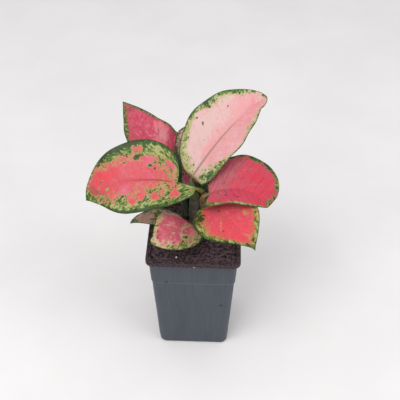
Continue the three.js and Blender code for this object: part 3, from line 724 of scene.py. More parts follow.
def wrap_grid(name, rings, values):
    """A closed body from a flat grid that is wrapped into a skin.

    rings[row, column] are its points, closed round each row. values holds named
    vectors for each point, which stay on the mesh for its material.
    """
    rows, around = rings.shape[:2]
    deselect_all()
    bpy.ops.mesh.primitive_grid_add(x_subdivisions=around, y_subdivisions=rows - 1, size=2)
    piece = name_piece(bpy.context.object, name)
    mesh = piece.data
    flat = np.empty(len(mesh.vertices) * 3)
    mesh.vertices.foreach_get("co", flat)
    flat = flat.reshape(-1, 3)
    column = np.rint((flat[:, 0] + 1) / 2 * around).astype(int) % around
    row = np.rint((flat[:, 1] + 1) / 2 * (rows - 1)).astype(int)
    mesh.vertices.foreach_set("co", rings[row, column].ravel())
    for key, grid in values.items():
        layer = mesh.attributes.new(key, "FLOAT_VECTOR", "POINT")
        layer.data.foreach_set("vector", grid[row, column].astype(np.float32).ravel())
    bpy.ops.object.mode_set(mode="EDIT")
    bpy.ops.mesh.select_all(action="SELECT")
    bpy.ops.mesh.remove_doubles(threshold=MERGE)
    select_open_edge()
    bpy.ops.mesh.fill_holes(sides=0)
    face_outward()
    bpy.ops.object.shade_smooth()
    return piece


def scatter(name, models, places):
    """One piece from many placed copies of a few modelled shapes.

    places holds the matrix of each copy, and the models take turns. Each copy has its
    own mesh.
    """
    copies = []
    for number, matrix in enumerate(places):
        copy = bpy.data.objects.new(name, models[number % len(models)].data.copy())
        copy.data.transform(matrix)
        bpy.context.scene.collection.objects.link(copy)
        copies.append(copy)
    piece = join(copies)
    for model in models:
        bpy.data.objects.remove(model)
    return name_piece(piece, name)


def dress(piece, material, slot, node=None):
    """Gives a finished piece its material and ties it to the frame."""
    if not piece.data.polygons:
        raise RuntimeError(f"{piece.name} has no faces")
    piece.data.materials.clear()
    piece.data.materials.append(material)
    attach(piece, "root")
    if node:
        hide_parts(node)


# ----------------------------------------------------------- material helpers
class Finish:
    """A material whose nodes are added and joined by short calls.

    base is its colour so far, and lay and veil put one more colour over it. The noise
    of cloud lies mostly between 0.3 and 0.7, and its scale is how many clouds there are
    in a metre of the Object coordinates, or in a centimetre of a leaf.
    """

    def __init__(self, name, base):
        self.material = bpy.data.materials.new(name)
        self.material.use_nodes = True
        self.tree = self.material.node_tree
        self.base = base

    def plug(self, socket, value):
        """Links another node's output to a socket, or sets a number or a colour on it."""
        if isinstance(value, bpy.types.NodeSocket):
            self.tree.links.new(value, socket)
        elif socket.type == "RGBA":
            socket.default_value = (*value, 1.0)
        else:
            socket.default_value = value

    def node(self, kind, inputs, **settings):
        made = self.tree.nodes.new("ShaderNode" + kind)
        for key, value in settings.items():
            setattr(made, key, value)
        for key, value in inputs.items():
            self.plug(made.inputs[key], value)
        return made.outputs

    def math(self, operation, first, second=0.0, clamp=False):
        return self.node("Math", {0: first, 1: second}, operation=operation, use_clamp=clamp)[0]

    def times(self, first, second, clamp=False):
        return self.math("MULTIPLY", first, second, clamp)

    def add(self, first, *others):
        for other in others:
            first = self.math("ADD", first, other)
        return first

    def about(self, noise_value, scale):
        """Noise moved to vary about 0, and scaled."""
        return self.times(self.math("SUBTRACT", noise_value, 0.5), scale)

    def step(self, value, low, high, out_low=0.0, out_high=1.0):
        """A soft step: out_low where value is at low, out_high where it is at high."""
        return self.node("MapRange", {"Value": value, "From Min": low, "From Max": high,
                                      "To Min": out_low, "To Max": out_high},
                         interpolation_type="SMOOTHSTEP")[0]

    def mix(self, share, first, second):
        return self.node("Mix", {0: share, 6: first, 7: second}, data_type="RGBA")[2]

    def veil(self, tint, share):
        self.base = self.mix(share, self.base, tint)

    def lay(self, tint, value, low, high, share=1.0, least=0.0):
        """Veils the base, by the least share where value is at low, by share at high."""
        self.veil(tint, self.step(value, low, high, least, share))

    def vector(self, x, y, z):
        return self.node("CombineXYZ", {0: x, 1: y, 2: z})[0]

    def stored(self, name):
        """The three parts of a vector that is stored on the mesh."""
        vector = self.node("Attribute", {}, attribute_name=name)["Vector"]
        return tuple(self.node("SeparateXYZ", {0: vector}))

    def place(self):
        return self.node("TexCoord", {})["Object"]

    def far(self, place, spot):
        """How far each point is from a spot."""
        return self.node("VectorMath", {0: place, 1: spot}, operation="DISTANCE")["Value"]

    def cloud(self, vector, scale, detail=2.0, rough=0.5):
        return self.node("TexNoise", {"Vector": vector, "Scale": scale, "Detail": detail,
                                      "Roughness": rough})[0]

    def stretch(self, vector, level, upright):
        return self.node("Mapping", {"Vector": vector, "Scale": (level, level, upright)})[0]

    def bump(self, height, depth, strength, **normal):
        return self.node("Bump", {"Height": height, "Distance": depth, "Strength": strength,
                                  **normal})[0]

    def done(self, roughness, normal, specular=0.5):
        shader = self.tree.nodes["Principled BSDF"].inputs
        for name, value in (("Base Color", self.base), ("Roughness", roughness),
                            ("Normal", normal), ("Specular IOR Level", specular)):
            self.plug(shader[name], value)
        return self.material


def clouded(name, first, second, cloud, spread, roughness, relief):
    """A plain material of two tones in soft clouds."""
    s = Finish(name, first)
    tone = s.cloud(s.place(), *cloud)
    s.lay(second, tone, 0.5 - spread, 0.5 + spread)
    return s.done(roughness, s.bump(tone, *relief))


# ------------------------------------------------------------------------ pot
def body_half(z):
    return BODY_FOOT_HALF + (BODY_TOP_HALF - BODY_FOOT_HALF) * z / LIP_FOOT


def body_corner(z):
    return CORNER_FOOT + (CORNER_TOP - CORNER_FOOT) * z / POT_HEIGHT


def inner_half(z):
    return body_half(z) - COLLAR_STEP - WALL


def pot_rings():
    """Rings from the edge of the pad, out and up the wall, over the rim and down inside."""
    rings = [(PAD_HALF, PAD_CORNER, 0),
             (PAD_HALF + CHANNEL_SLOPE, PAD_CORNER + CHANNEL_SLOPE / 2, CHANNEL_DEPTH),
             (CHANNEL_HALF - CHANNEL_SLOPE, CHANNEL_CORNER, CHANNEL_DEPTH),
             (CHANNEL_HALF, CHANNEL_CORNER, 0)]
    for turn in quarter(ARC_RINGS):
        inset = EDGE_ROUND * (1 - math.sin(turn))
        rings.append((body_half(0) - COLLAR_STEP - inset, CORNER_FOOT - inset / 2,
                      EDGE_ROUND * (1 - math.cos(turn))))
    wall_top = COLLAR_FOOT + COLLAR_EASE[0][0]
    wall = [(EDGE_ROUND + (wall_top - EDGE_ROUND) * part / WALL_RINGS, 1)
            for part in range(1, WALL_RINGS)]
    wall += [(COLLAR_FOOT + rise, share) for rise, share in COLLAR_EASE]
    wall += [(COLLAR_FOOT + (COLLAR_TOP - COLLAR_FOOT) * part / COLLAR_RINGS, 0)
             for part in range(1, COLLAR_RINGS + 1)]
    rings += [(body_half(z) - COLLAR_STEP * share, body_corner(z), z) for z, share in wall]
    rings += [(RIM_HALF - LIP_EDGE * (1 - math.sin(turn)), RIM_CORNER,
               LIP_FOOT + LIP_EDGE * (1 - math.cos(turn))) for turn in quarter(LIP_RINGS)]
    rings += [(RIM_HALF - LIP_EDGE * (1 - math.cos(turn)), RIM_CORNER,
               POT_HEIGHT - LIP_EDGE * (1 - math.sin(turn))) for turn in quarter(LIP_RINGS)]
    rings.append((inner_half(POT_HEIGHT) + RIM_BEVEL, CORNER_TOP - WALL, POT_HEIGHT))
    for z in (POT_HEIGHT - RIM_BEVEL_DEEP, POT_HEIGHT - LIP_EDGE, COLLAR_FOOT,
              FLOOR + FLOOR_RISE):
        rings.append((inner_half(z), body_corner(z) - WALL, z))
    rings.append((inner_half(FLOOR) - FLOOR_INSET, FLOOR_CORNER, FLOOR))
    return [rounded_square(*ring) for ring in rings]


def warp_walls(piece, height):
    """Lets the thin moulded walls stand a little unevenly, and leaves foot and rim true."""
    for vert in piece.data.vertices:
        x, y, z = vert.co
        share = max(0.0, min(1.0, (z - WARP_FOOT) / WARP_EASE, (POT_HEIGHT - z) / WARP_EASE))
        push = noise.noise(Vector((x, y, z)) * WARP_SCALE) * height * share
        outward = Vector((x, 0, 0)) if abs(x) > abs(y) else Vector((0, y, 0))
        vert.co += outward.normalized() * push


def bore_drains(piece):
    """Cuts the drain holes with upright cylinders, by a Boolean that is then applied."""
    deselect_all()
    borers = []
    for quarters in range(4):
        for out, sideways, radius in DRAINS:
            x, y = turned(out, out * sideways, quarters)
            bpy.ops.mesh.primitive_cylinder_add(vertices=DRAIN_SIDES, radius=radius,
                                                depth=DRAIN_BORE, location=(x, y, DRAIN_MIDDLE))
            borers.append(bpy.context.object)
    tool = join(borers)
    deselect_all()
    bpy.context.view_layer.objects.active = piece
    piece.select_set(True)
    cut = piece.modifiers.new("Drains", "BOOLEAN")
    cut.object = tool
    cut.solver = "EXACT"
    bpy.ops.object.modifier_apply(modifier=cut.name)
    bpy.data.objects.remove(tool)


def pot_material(settings):
    s = Finish("pot_plastic", settings.plastic)
    place = s.place()
    z = s.node("SeparateXYZ", {0: place})[2]
    streaks = s.cloud(s.stretch(place, 1, 0.03), 420, 3, 0.6)
    broad = s.cloud(s.stretch(place, 1, 0.25), 46, 3, 0.55)
    s.lay(settings.streak, s.add(s.times(streaks, 0.55), s.times(broad, 0.45)), 0.36, 0.66)
    s.lay(srgb(58, 63, 71), broad, 0.52, 0.30, 0.45)
    s.lay(srgb(104, 110, 117), s.cloud(place, 2600, 2, 0.6), 0.62, 0.74, 0.3)
    # painted highlight: a pale line along the foot of the collar's step, where its edge catches the
    # light
    ridge = s.math("ABSOLUTE", s.math("SUBTRACT", z, COLLAR_FOOT))
    s.lay(srgb(108, 115, 123), ridge, 0.0017, 0.0003, 0.3)
    scuffs = s.cloud(s.stretch(place, 1, 0.35), 190, 5, 0.72)
    s.lay(srgb(122, 125, 130), scuffs, 0.66, 0.72, 0.3)
    s.lay(settings.dust, s.cloud(place, 520, 1, 0.4), 0.735, 0.76, 0.85)
    for spot, radius in POT_SPOTS:
        s.lay(srgb(34, 38, 46), s.far(place, spot), radius * 1.5, radius * 0.5, 0.9)
    # soil clings to the rim, in clots, and thinly to the wall below it
    clots = s.cloud(place, 330, 4, 0.7)
    reach = s.add(z, s.about(clots, 0.012))
    dusty = s.step(reach, POT_HEIGHT - 0.0072, POT_HEIGHT - 0.0052)
    dust = s.mix(s.step(s.cloud(place, 560, 4, 0.65), 0.42, 0.6), srgb(20, 17, 20), settings.dust)
    s.lay(srgb(70, 68, 70), reach, POT_HEIGHT - 0.03, POT_HEIGHT - 0.006, 0.35)
    s.veil(dust, s.times(dusty, 0.95))
    s.lay(srgb(176, 180, 184), s.far(place, NICK), 0.0012, 0.0006)
    rough = s.step(s.add(broad, s.times(dusty, 0.6)), 0.3, 1.1, 0.44, 0.86)
    grain = s.bump(s.cloud(place, 3800, 2, 0.5), 0.00004, 0.5)
    return s.done(rough, s.bump(s.times(clots, dusty), 0.0007, 0.9, Normal=grain), 0.42)


# ----------------------------------------------------------------------- soil
def soil_height(x, y, level):
    """Height of the heaped soil with its lumps of coarse peat."""
    out = max(abs(x), abs(y)) / inner_half(level)
    height = level + SOIL_HEAP * (1 - out * out)
    for frequency, size in SOIL_LUMPS:
        height += size * noise.noise(Vector((x * frequency, y * frequency, frequency)))
    return height


def soil_body(level):
    """A fine grid, rounded at its corners, raised into lumps, with walls down to the floor."""
    half = inner_half(level) - CLEAR
    radius = body_corner(level) - WALL - CLEAR
    deselect_all()
    bpy.ops.mesh.primitive_grid_add(x_subdivisions=SOIL_CELLS, y_subdivisions=SOIL_CELLS,
                                    size=2 * half)
    piece = name_piece(bpy.context.object, "soil_surface")
    for vert in piece.data.vertices:
        x, y = vert.co.x, vert.co.y
        over_x = (abs(x) - (half - radius)) / radius
        over_y = (abs(y) - (half - radius)) / radius
        if over_x > 0 and over_y > 0:
            scale = max(over_x, over_y) / math.hypot(over_x, over_y)
            x = math.copysign(half - radius + radius * over_x * scale, x)
            y = math.copysign(half - radius + radius * over_y * scale, y)
        vert.co = (x, y, soil_height(x, y, level))
    bpy.ops.object.mode_set(mode="EDIT")
    select_open_edge()
    low_half = inner_half(FLOOR + FLOOR_RISE) - CLEAR
    for z, inset, last_half in ((FLOOR + FLOOR_RISE + CLEAR, 0, half),
                                (FLOOR + CLEAR, FLOOR_INSET, low_half)):
        share = (inner_half(z) - CLEAR - inset) / last_half
        for vert, _ in extruded(piece):
            vert.co = (vert.co.x * share, vert.co.y * share, z)
    bpy.ops.mesh.edge_face_add()
    face_outward()
    bpy.ops.object.shade_smooth_by_angle(angle=math.radians(SOIL_SMOOTH))
    return piece


def soil_material(settings, name="peat", dry_share=0.0):
    s = Finish(name, srgb(20, 15, 18))
    place = s.place()
    coarse = s.cloud(place, 260, 5, 0.65)
    fine = s.cloud(place, 1400, 4, 0.7)
    s.lay(settings.peat, coarse, 0.38, 0.6)
    s.lay(settings.dry, fine, 0.56, 0.72, 0.55, dry_share)
    s.lay(srgb(112, 70, 52), s.cloud(place, 620), 0.70, 0.75, 0.6)
    height = s.add(s.times(coarse, 0.6), s.times(fine, 0.4))
    return s.done(s.step(fine, 0.3, 0.7, 0.72, 0.98), s.bump(height, 0.0012, 0.8), 0.25)


def crumb_models(rng):
    """A few uneven lumps, each an ico sphere pulled out of shape."""
    models = []
    for _ in range(CRUMB_MODELS):
        deselect_all()
        bpy.ops.mesh.primitive_ico_sphere_add(subdivisions=1, radius=1.0)
        models.append(bpy.context.object)
        for vert in models[-1].data.vertices:
            vert.co *= 0.68 + 0.5 * rng.random()
        bpy.ops.object.shade_smooth()
    return models


def some_size(rng, least, spread, few):
    """A random size, where a high few makes the large ones rare."""
    return least + spread * rng.random() ** few


def crumb_matrix(rng, x, y, z, size, flat=0.75):
    """Turns and stretches a crumb at random, at its place and size."""
    turn = Euler([rng.uniform(0, FULL_TURN) for _ in range(3)]).to_matrix()
    shape = [size * rng.uniform(low, high) for low, high in ((0.8, 1.35), (0.6, 1.0), (0.5, flat))]
    return Matrix.Translation((x, y, z)) @ (turn @ Matrix.Diagonal(shape)).to_4x4()


def soil_crumb_places(settings, rng):
    half = inner_half(settings.level) - CRUMB_INSET
    places = []
    while len(places) < settings.crumbs:
        x, y = rng.uniform(-half, half), rng.uniform(-half, half)
        size = some_size(rng, *CRUMBS)
        if math.hypot(x, y) >= STEM_R_SOIL + size:
            z = soil_height(x, y, settings.level) + size * CRUMB_RISE
            places.append(crumb_matrix(rng, x, y, z, size))
    return places


def rim_crumb_places(settings, rng):
    inside = inner_half(POT_HEIGHT)
    places = []
    for _ in range(settings.rim_crumbs):
        along = rng.uniform(-1, 1) * (RIM_HALF - RIM_CRUMB_CORNER)
        out = some_size(rng, inside, RIM_HALF - RIM_CRUMB_INSET - inside, 1.5)
        size = some_size(rng, *RIM_CRUMBS)
        x, y = turned(along, out, rng.randrange(4))
        places.append(crumb_matrix(rng, x, y, POT_HEIGHT + size * RIM_CRUMB_RISE, size))
    return places


def grain_places(settings, rng):
    return [crumb_matrix(rng, x, y,
                         soil_height(x, y, settings.level) + size * GRAIN_RISE, size, 0.9)
            for x, y, size in GRAINS]


def fibre_models(_):
    """Bent strands, thickest in the middle, extruded ring by ring."""
    models = []
    for bend in FIBRE_BENDS:
        rings = []
        for part in range(FIBRE_RINGS + 1):
            share = part / FIBRE_RINGS
            radius = 0.011 + 0.012 * math.sin(math.pi * share)
            mid = Vector((share - 0.5, bend * (share - 0.5) ** 2, 0.05 * math.sin(5 * share)))
            turns = [math.tau * side / FIBRE_SIDES for side in range(FIBRE_SIDES)]
            rings.append([mid + Vector((0, radius * math.cos(turn), radius * math.sin(turn)))
                          for turn in turns])
        models.append(extrude_rings("fibre", rings))
        bpy.ops.object.shade_smooth()
    return models


def fibre_places(settings, rng):
    half = inner_half(settings.level) - FIBRE_INSET
    places = []
    for _ in range(settings.fibres):
        x, y = rng.uniform(-half, half), rng.uniform(-half, half)
        size = rng.uniform(*FIBRE_LENGTH)
        z = soil_height(x, y, settings.level) + FIBRE_LIFT
        turn = Euler((rng.uniform(-0.3, 0.3), rng.uniform(-0.12, 0.12), rng.uniform(0, FULL_TURN)))
        places.append(Matrix.Translation((x, y, z)) @ turn.to_matrix().to_4x4()
                      @ Matrix.Diagonal((size, size, size, 1)))
    return places


# ----------------------------------------------------------------------- stem
def stem_lean(z):
    return STEM_LEAN * (max(0.0, z - STEM_LEAN_FROM) / (STEM_TOP_Z - STEM_LEAN_FROM)) ** 1.5


def stem_radius(z):
    share = (z - STEM_TAPER_FROM) / (STEM_TOP_Z - STEM_TAPER_FROM)
    return STEM_R_SOIL + (STEM_R_TOP - STEM_R_SOIL) * share


def stem_rings():
    """Rings up the stem, thicker at its sheaths and at the scars where old leaves stood."""
    levels = []
    for part in range(STEM_RINGS + 1):
        z = STEM_FOOT_Z + (STEM_TOP_Z - STEM_FOOT_Z) * part / STEM_RINGS
        radius = stem_radius(z) - STEM_SLIM + SWELL * ease((z - SWELL_FROM) / SWELL_EASE)
        for scar in SCARS:
            radius += hill(z - scar, *SCAR_RIDGE) - hill(z - scar - SCAR_DIP_UP, *SCAR_DIP)
        levels.append((z, radius))
    levels += [(STEM_TOP_Z + rise, STEM_R_TOP - inset) for rise, inset in STEM_CAP]
    rings = []
    for z, radius in levels:
        ring = []
        for side in range(STEM_SIDES):
            turn = math.tau * side / STEM_SIDES
            rough = 1 + 0.02 * math.sin(5 * turn + z * 90) + 0.015 * math.sin(9 * turn - z * 150)
            ring.append((stem_lean(z) + radius * rough * math.cos(turn),
                         radius * rough * math.sin(turn), z))
        rings.append(ring)
    return rings


def stem_material(settings):
    s = Finish("stem_green", srgb(38, 48, 36))
    place = s.place()
    z = s.node("SeparateXYZ", {0: place})[2]
    long = s.cloud(s.stretch(place, 1, 0.12), 900, 4, 0.6)
    rings = s.cloud(s.stretch(place, 0.12, 1), 520, 3, 0.6)
    s.lay(settings.green, long, 0.38, 0.62)
    s.lay(srgb(70, 60, 66), s.cloud(place, 240, 3, 0.6), 0.5, 0.66, 0.7)
    s.lay(settings.scar, rings, 0.56, 0.66, 0.75)
    s.lay(srgb(52, 44, 38), z, 0.150, 0.138, 0.7)
    return s.done(s.step(long, 0.3, 0.7, 0.42, 0.62), s.bump(s.add(long, rings), 0.0004, 0.7))


# --------------------------------------------------------------------- leaves
def clipped(values):
    return np.clip(values, 0, 1)


def ease(share):
    share = clipped(share)
    return share * share * (3 - 2 * share)


def hill(far, height, width):
    """The full height in the middle, and nearly nothing at twice the width."""
    return height * np.exp(-(far / width) ** 2)


def unit(vectors):
    return vectors / np.maximum(np.linalg.norm(vectors, axis=-1, keepdims=True), 1e-12)


def midrib(form, t):
    """Place, direction, left and up of a blade's middle line at shares t of its length."""
    steps = 400
    fine = np.linspace(0, 1, steps + 1)
    head = np.radians(form.heading + form.swing * fine)
    climb = np.radians(form.climb - form.droop * fine ** form.bend)
    along = np.stack([np.cos(climb) * np.cos(head), np.cos(climb) * np.sin(head),
                      np.sin(climb)], axis=1)
    pieces = (along[1:] + along[:-1]) / 2 * form.length / steps
    place = np.array(form.foot) + np.concatenate([np.zeros((1, 3)), np.cumsum(pieces, axis=0)])
    level = np.stack([-np.sin(head), np.cos(head), np.zeros_like(head)], axis=1)
    up = np.cross(along, level)
    roll = math.radians(form.roll)
    left = level * math.cos(roll) + up * math.sin(roll)
    top = up * math.cos(roll) - level * math.sin(roll)

    def at(values):
        return np.stack([np.interp(t, fine, values[:, axis]) for axis in range(3)], axis=-1)

    return at(place), unit(at(along)), unit(at(left)), unit(at(top))


def outline(half, t):
    """Half width, as a share of the widest, at shares t of the length."""
    before = np.clip(t, half.begin, half.widest)
    foot = (1 - ((half.widest - before) / (half.widest - half.begin)) ** 2) ** half.round
    after = (np.maximum(t, half.widest) - half.widest) / (1 - half.widest)
    tip = np.maximum(0, np.cos(np.pi / 2 * after)) ** half.tip
    return np.where(t <= half.widest, foot, tip)


def vein_root(t, s):
    """Where on the midrib the side vein through a point starts, as a share of the length."""
    run = VEIN_SWEEP * np.abs(s) ** 1.25
    return np.clip((t - run) / (1 - run), -0.25, 1)


def blade_sheet(form, look, t, s):
    """The middle surface of a blade, half its width there, and up, on grids of t and s."""
    place, along, left, up = midrib(form, t)
    points = np.zeros(t.shape + (3,))
    widths = np.zeros(t.shape)
    across = np.abs(s)
    curl = math.radians(form.curl)
    uneven = 1 + 0.010 * np.sin(11 * t + look.seed) + 0.007 * np.sin(23 * t + 2.3 * look.seed)
    for sign, half, phase in ((1, form.left, 0.0), (-1, form.right, 1.7)):
        share = outline(half, t)
        least = STALK_R_BLADE + (TIP_HALF - STALK_R_BLADE) * t
        width = np.maximum(half.width * share * uneven, least)
        if half.blunt:
            end = half.blunt / form.length
            turn = clipped((t - 1 + end) / end)
            rise = clipped((t - (1 - end - BLUNT_EASE)) / BLUNT_EASE)
            width = np.maximum(width, half.blunt * np.sqrt(1 - turn * turn) * rise)
        fold = math.radians(half.fold)
        out = (math.sin(fold) - np.sin(fold - curl * across)) / curl
        rise = (np.cos(fold - curl * across) - math.cos(fold)) / curl
        ripple = form.wave * across ** 2 * share * np.sin(2 * np.pi * form.waves * t + phase)
        back = -half.lobe * across ** 2 * (1 - t) ** 3 * share
        made = (place + left * (sign * width * out)[..., None]
                + up * (width * rise + ripple)[..., None] + along * back[..., None])
        side = (s >= 0) if sign > 0 else (s < 0)
        points[side] = made[side]
        widths[side] = width[side]
    return points, widths, up


def quilting(form, look, t, s, widths):
    """How the blade swells between its side veins and sinks at them, in metres."""
    across = np.abs(s)
    window = clipped(across * 6) * clipped((1 - across) * 3.2) * clipped(widths / 0.02)
    pillow = np.abs(np.sin(np.pi * vein_root(t, s) * look.veins)) ** 0.8 - 0.6
    scale, height = SWELLS
    soft = [noise.noise(Vector((x * scale, y * scale, look.seed)))
            for x, y in zip((t * form.length).ravel(), (s * widths).ravel())]
    soft = np.array(soft).reshape(t.shape) * height * clipped(across * 3)
    return RELIEF * pillow * window + soft * clipped(widths / 0.012)


def blade_rings(form, look, settings):
    """Rings round the blade from foot to tip, and t, s, width and side of each point."""
    even = np.linspace(0, 1, COLUMNS)
    shares = 0.62 * even + 0.38 * (1 - np.cos(np.pi * even)) / 2
    shares = np.concatenate([shares * 0.987, [1.0]])
    rows = int(form.length * ROWS_PER_METRE) + 12
    t_row = (1 - np.cos(np.linspace(0, np.pi, rows))) / 2
    t_row = 0.5 * t_row + 0.5 * np.linspace(0, 1, rows)
    t, s = np.meshgrid(t_row, np.concatenate([-shares[:0:-1], shares]), indexing="ij")
    points, widths, up = blade_sheet(form, look, t, s)
    normal = np.cross(np.gradient(points, axis=0), np.gradient(points, axis=1))
    normal = unit(unit(normal) + 0.05 * up)
    points = points + normal * quilting(form, look, t, s, widths)[..., None]
    across = np.abs(s)
    x = across * widths
    round_off = np.where(across > 0.999, 0.0, np.where(across > 0.98, 0.8, 1.0))
    thick = round_off * (settings.thickness + (settings.margin - settings.thickness) * across)
    groove = hill(x, *GROOVE) * clipped((1 - t) * 6)
    rib = hill(x, *RIB) * (1 - 0.85 * t)
    row = vein_root(t, s) * look.veins
    ridge = hill(row - np.rint(row), *VEIN_RIDGE) * clipped((1 - across) * 3)
    upper = points + normal * (thick / 2 - groove)[..., None]
    lower = points - normal * (thick / 2 + rib + ridge * round_off)[..., None]
    pairs = ((upper, lower), (t, t), (s, s), (widths, widths), (np.zeros_like(t), np.ones_like(t)))
    return [np.concatenate([above, below[:, -2:0:-1]], axis=1) for above, below in pairs]


def ring_of_stalk(place, left, up, wide, high):
    """One ring of a stalk whose points match the points of a blade ring."""
    turns = np.radians(np.linspace(-90, 90, 2 * COLUMNS + 1))
    side = place + left * (wide * np.sin(turns))[:, None]
    rise = up * (high * np.cos(turns))[:, None]
    return np.concatenate([side + rise, (side - rise)[-2:0:-1]])


def stalk_rings(form, girth):
    """Rings of the stalk, from inside the stem to the foot of the blade."""
    place, along, left, up = (values[0] for values in midrib(form, np.zeros(1)))
    end = place - up * STALK_DROP
    out = np.zeros(3)
    if form.start:
        azimuth, z = math.radians(form.start[0]), form.start[1]
        out = np.array([math.cos(azimuth), math.sin(azimuth), 0.0])
        start = out * (stem_radius(z) + CLEAR + STALK_R_FOOT) + [stem_lean(z), 0, z]
        root = out * stem_radius(z) * ROOT_REACH + [stem_lean(z), 0, z - ROOT_DROP]
    else:
        start = np.array([STEM_LEAN, 0, STEM_TOP_Z + CLEAR])
        root = start - [0, 0, TOP_ROOT_DROP]
    span = np.linalg.norm(end - start)
    rise = unit(out * STALK_LEAN + [0, 0, 1]) * span * STALK_RISE
    handles = np.array([start, start + rise, end - along * span * STALK_EASE, end])
    rings = []
    for part in range(-ROOT_RINGS, STALK_RINGS):
        k = max(0, part) / STALK_RINGS
        if part < 0:
            share = 1 + part / ROOT_RINGS
            middle = start - [0, 0, 0.003]
            at = (1 - share) ** 2 * root + 2 * share * (1 - share) * middle + share ** 2 * start
            way = unit(start - root + [0, 0, 0.002])
        else:
            weight = np.array([(1 - k) ** 3, 3 * k * (1 - k) ** 2, 3 * k * k * (1 - k), k ** 3])
            slope = np.array([-(1 - k) ** 2, (1 - k) * (1 - 3 * k), k * (2 - 3 * k), k * k])
            at = weight @ handles
            way = unit(slope @ handles)
        flat = unit(left - way * (left @ way))
        radius = STALK_R_FOOT + (STALK_R_BLADE - STALK_R_FOOT) * k
        sheath = SHEATH * max(0.0, 1 - SHEATH_END * k)
        fuller = 1 + girth * (1 - k) ** 0.6
        rings.append(ring_of_stalk(at, flat, np.cross(way, flat), radius * (fuller + sheath),
                                   radius * fuller))
    return np.array(rings)


def leaf_fields(form, look, t, s, widths):
    """The distance to the margin, and how green, creamy, dusky and so on each point is."""
    places, left, right = np.array(look.bands).T
    band = np.where(s >= 0, np.interp(t, places, left), np.interp(t, places, right))
    tip_end = (1 - t) * form.length * 0.8
    edge = np.minimum((1 - np.abs(s)) * widths, np.hypot(tip_end, 0.0004))
    fields = {what: np.zeros_like(t) for what in ZONES + TINTS}
    most, fall = MARGIN_GREEN
    fields["green"] = np.maximum(most - fall * edge * MILLIMETRES / band, -look.clear)
    for what, marks in look.marks.items():
        for mark in (Mark(*values) for values in marks):
            forward = (t - mark.t) * form.length * MILLIMETRES
            aside = (s - mark.s) * widths * MILLIMETRES
            cos, sin = math.cos(math.radians(mark.turn)), math.sin(math.radians(mark.turn))
            near = (((forward * cos + aside * sin) / mark.long) ** 2
                    + ((aside * cos - forward * sin) / mark.wide) ** 2)
            fields[what] += mark.strength * np.exp(-near ** 2)
    return edge, fields


def leaf_body(name, form, look, settings):
    """One leaf, stalk and blade, wrapped from one grid."""
    blade, t, s, widths, under = blade_rings(form, look, settings)
    place, _, left, up = midrib(form, t[:, 0])
    for row in range(len(blade)):
        share = ease(t[row, 0] / STALK_BLEND)
        if share < 1:
            foot = place[row] - up[row] * STALK_DROP * (1 - share)
            foot = ring_of_stalk(foot, left[row], up[row], STALK_R_BLADE, STALK_R_BLADE)
            blade[row] = blade[row] * share + foot * (1 - share)
    stalk = stalk_rings(form, look.girth)
    edge, fields = leaf_fields(form, look, t, s, widths)
    root = vein_root(t, s)
    y = s * widths * CENTIMETRES
    comes, goes = RIB_FADES
    shown = ease((t - look.rib_from) / comes) * (1 - ease((t - look.rib_end) / goes))
    rib = hill(s * widths, look.rib_share, look.rib_wide * (1 - 0.75 * t) + RIB_TIP)
    values = {
        "blade": (t * form.length * CENTIMETRES, y, edge * CENTIMETRES),
        "flow": (root * form.length * CENTIMETRES, y, root * look.veins),
        "zone": [fields[what] for what in ZONES],
        "tint": [fields[what] for what in TINTS],
        "part": (under, 1 - ease(t / STALK_FADE), rib * np.where(under > 0, 1, shown)),
    }
    none = np.zeros(stalk.shape[:2])
    back = none + np.linspace(-len(stalk) * 0.2, 0, len(stalk))[:, None]
    turn = none + np.linspace(0, 1.2, none.shape[1])
    on_stalk = {
        "blade": (back, turn, none + 0.5),
        "flow": (back, turn, none + 0.5),
        "zone": (none - 1, none, none),
        "tint": (none, none, none),
        "part": (none, none + 1, none),
    }
    joined = {key: np.concatenate([np.stack(grids[key], axis=-1) for grids in (on_stalk, values)])
              for key in values}
    return wrap_grid(name, np.concatenate([stalk, blade]), joined)


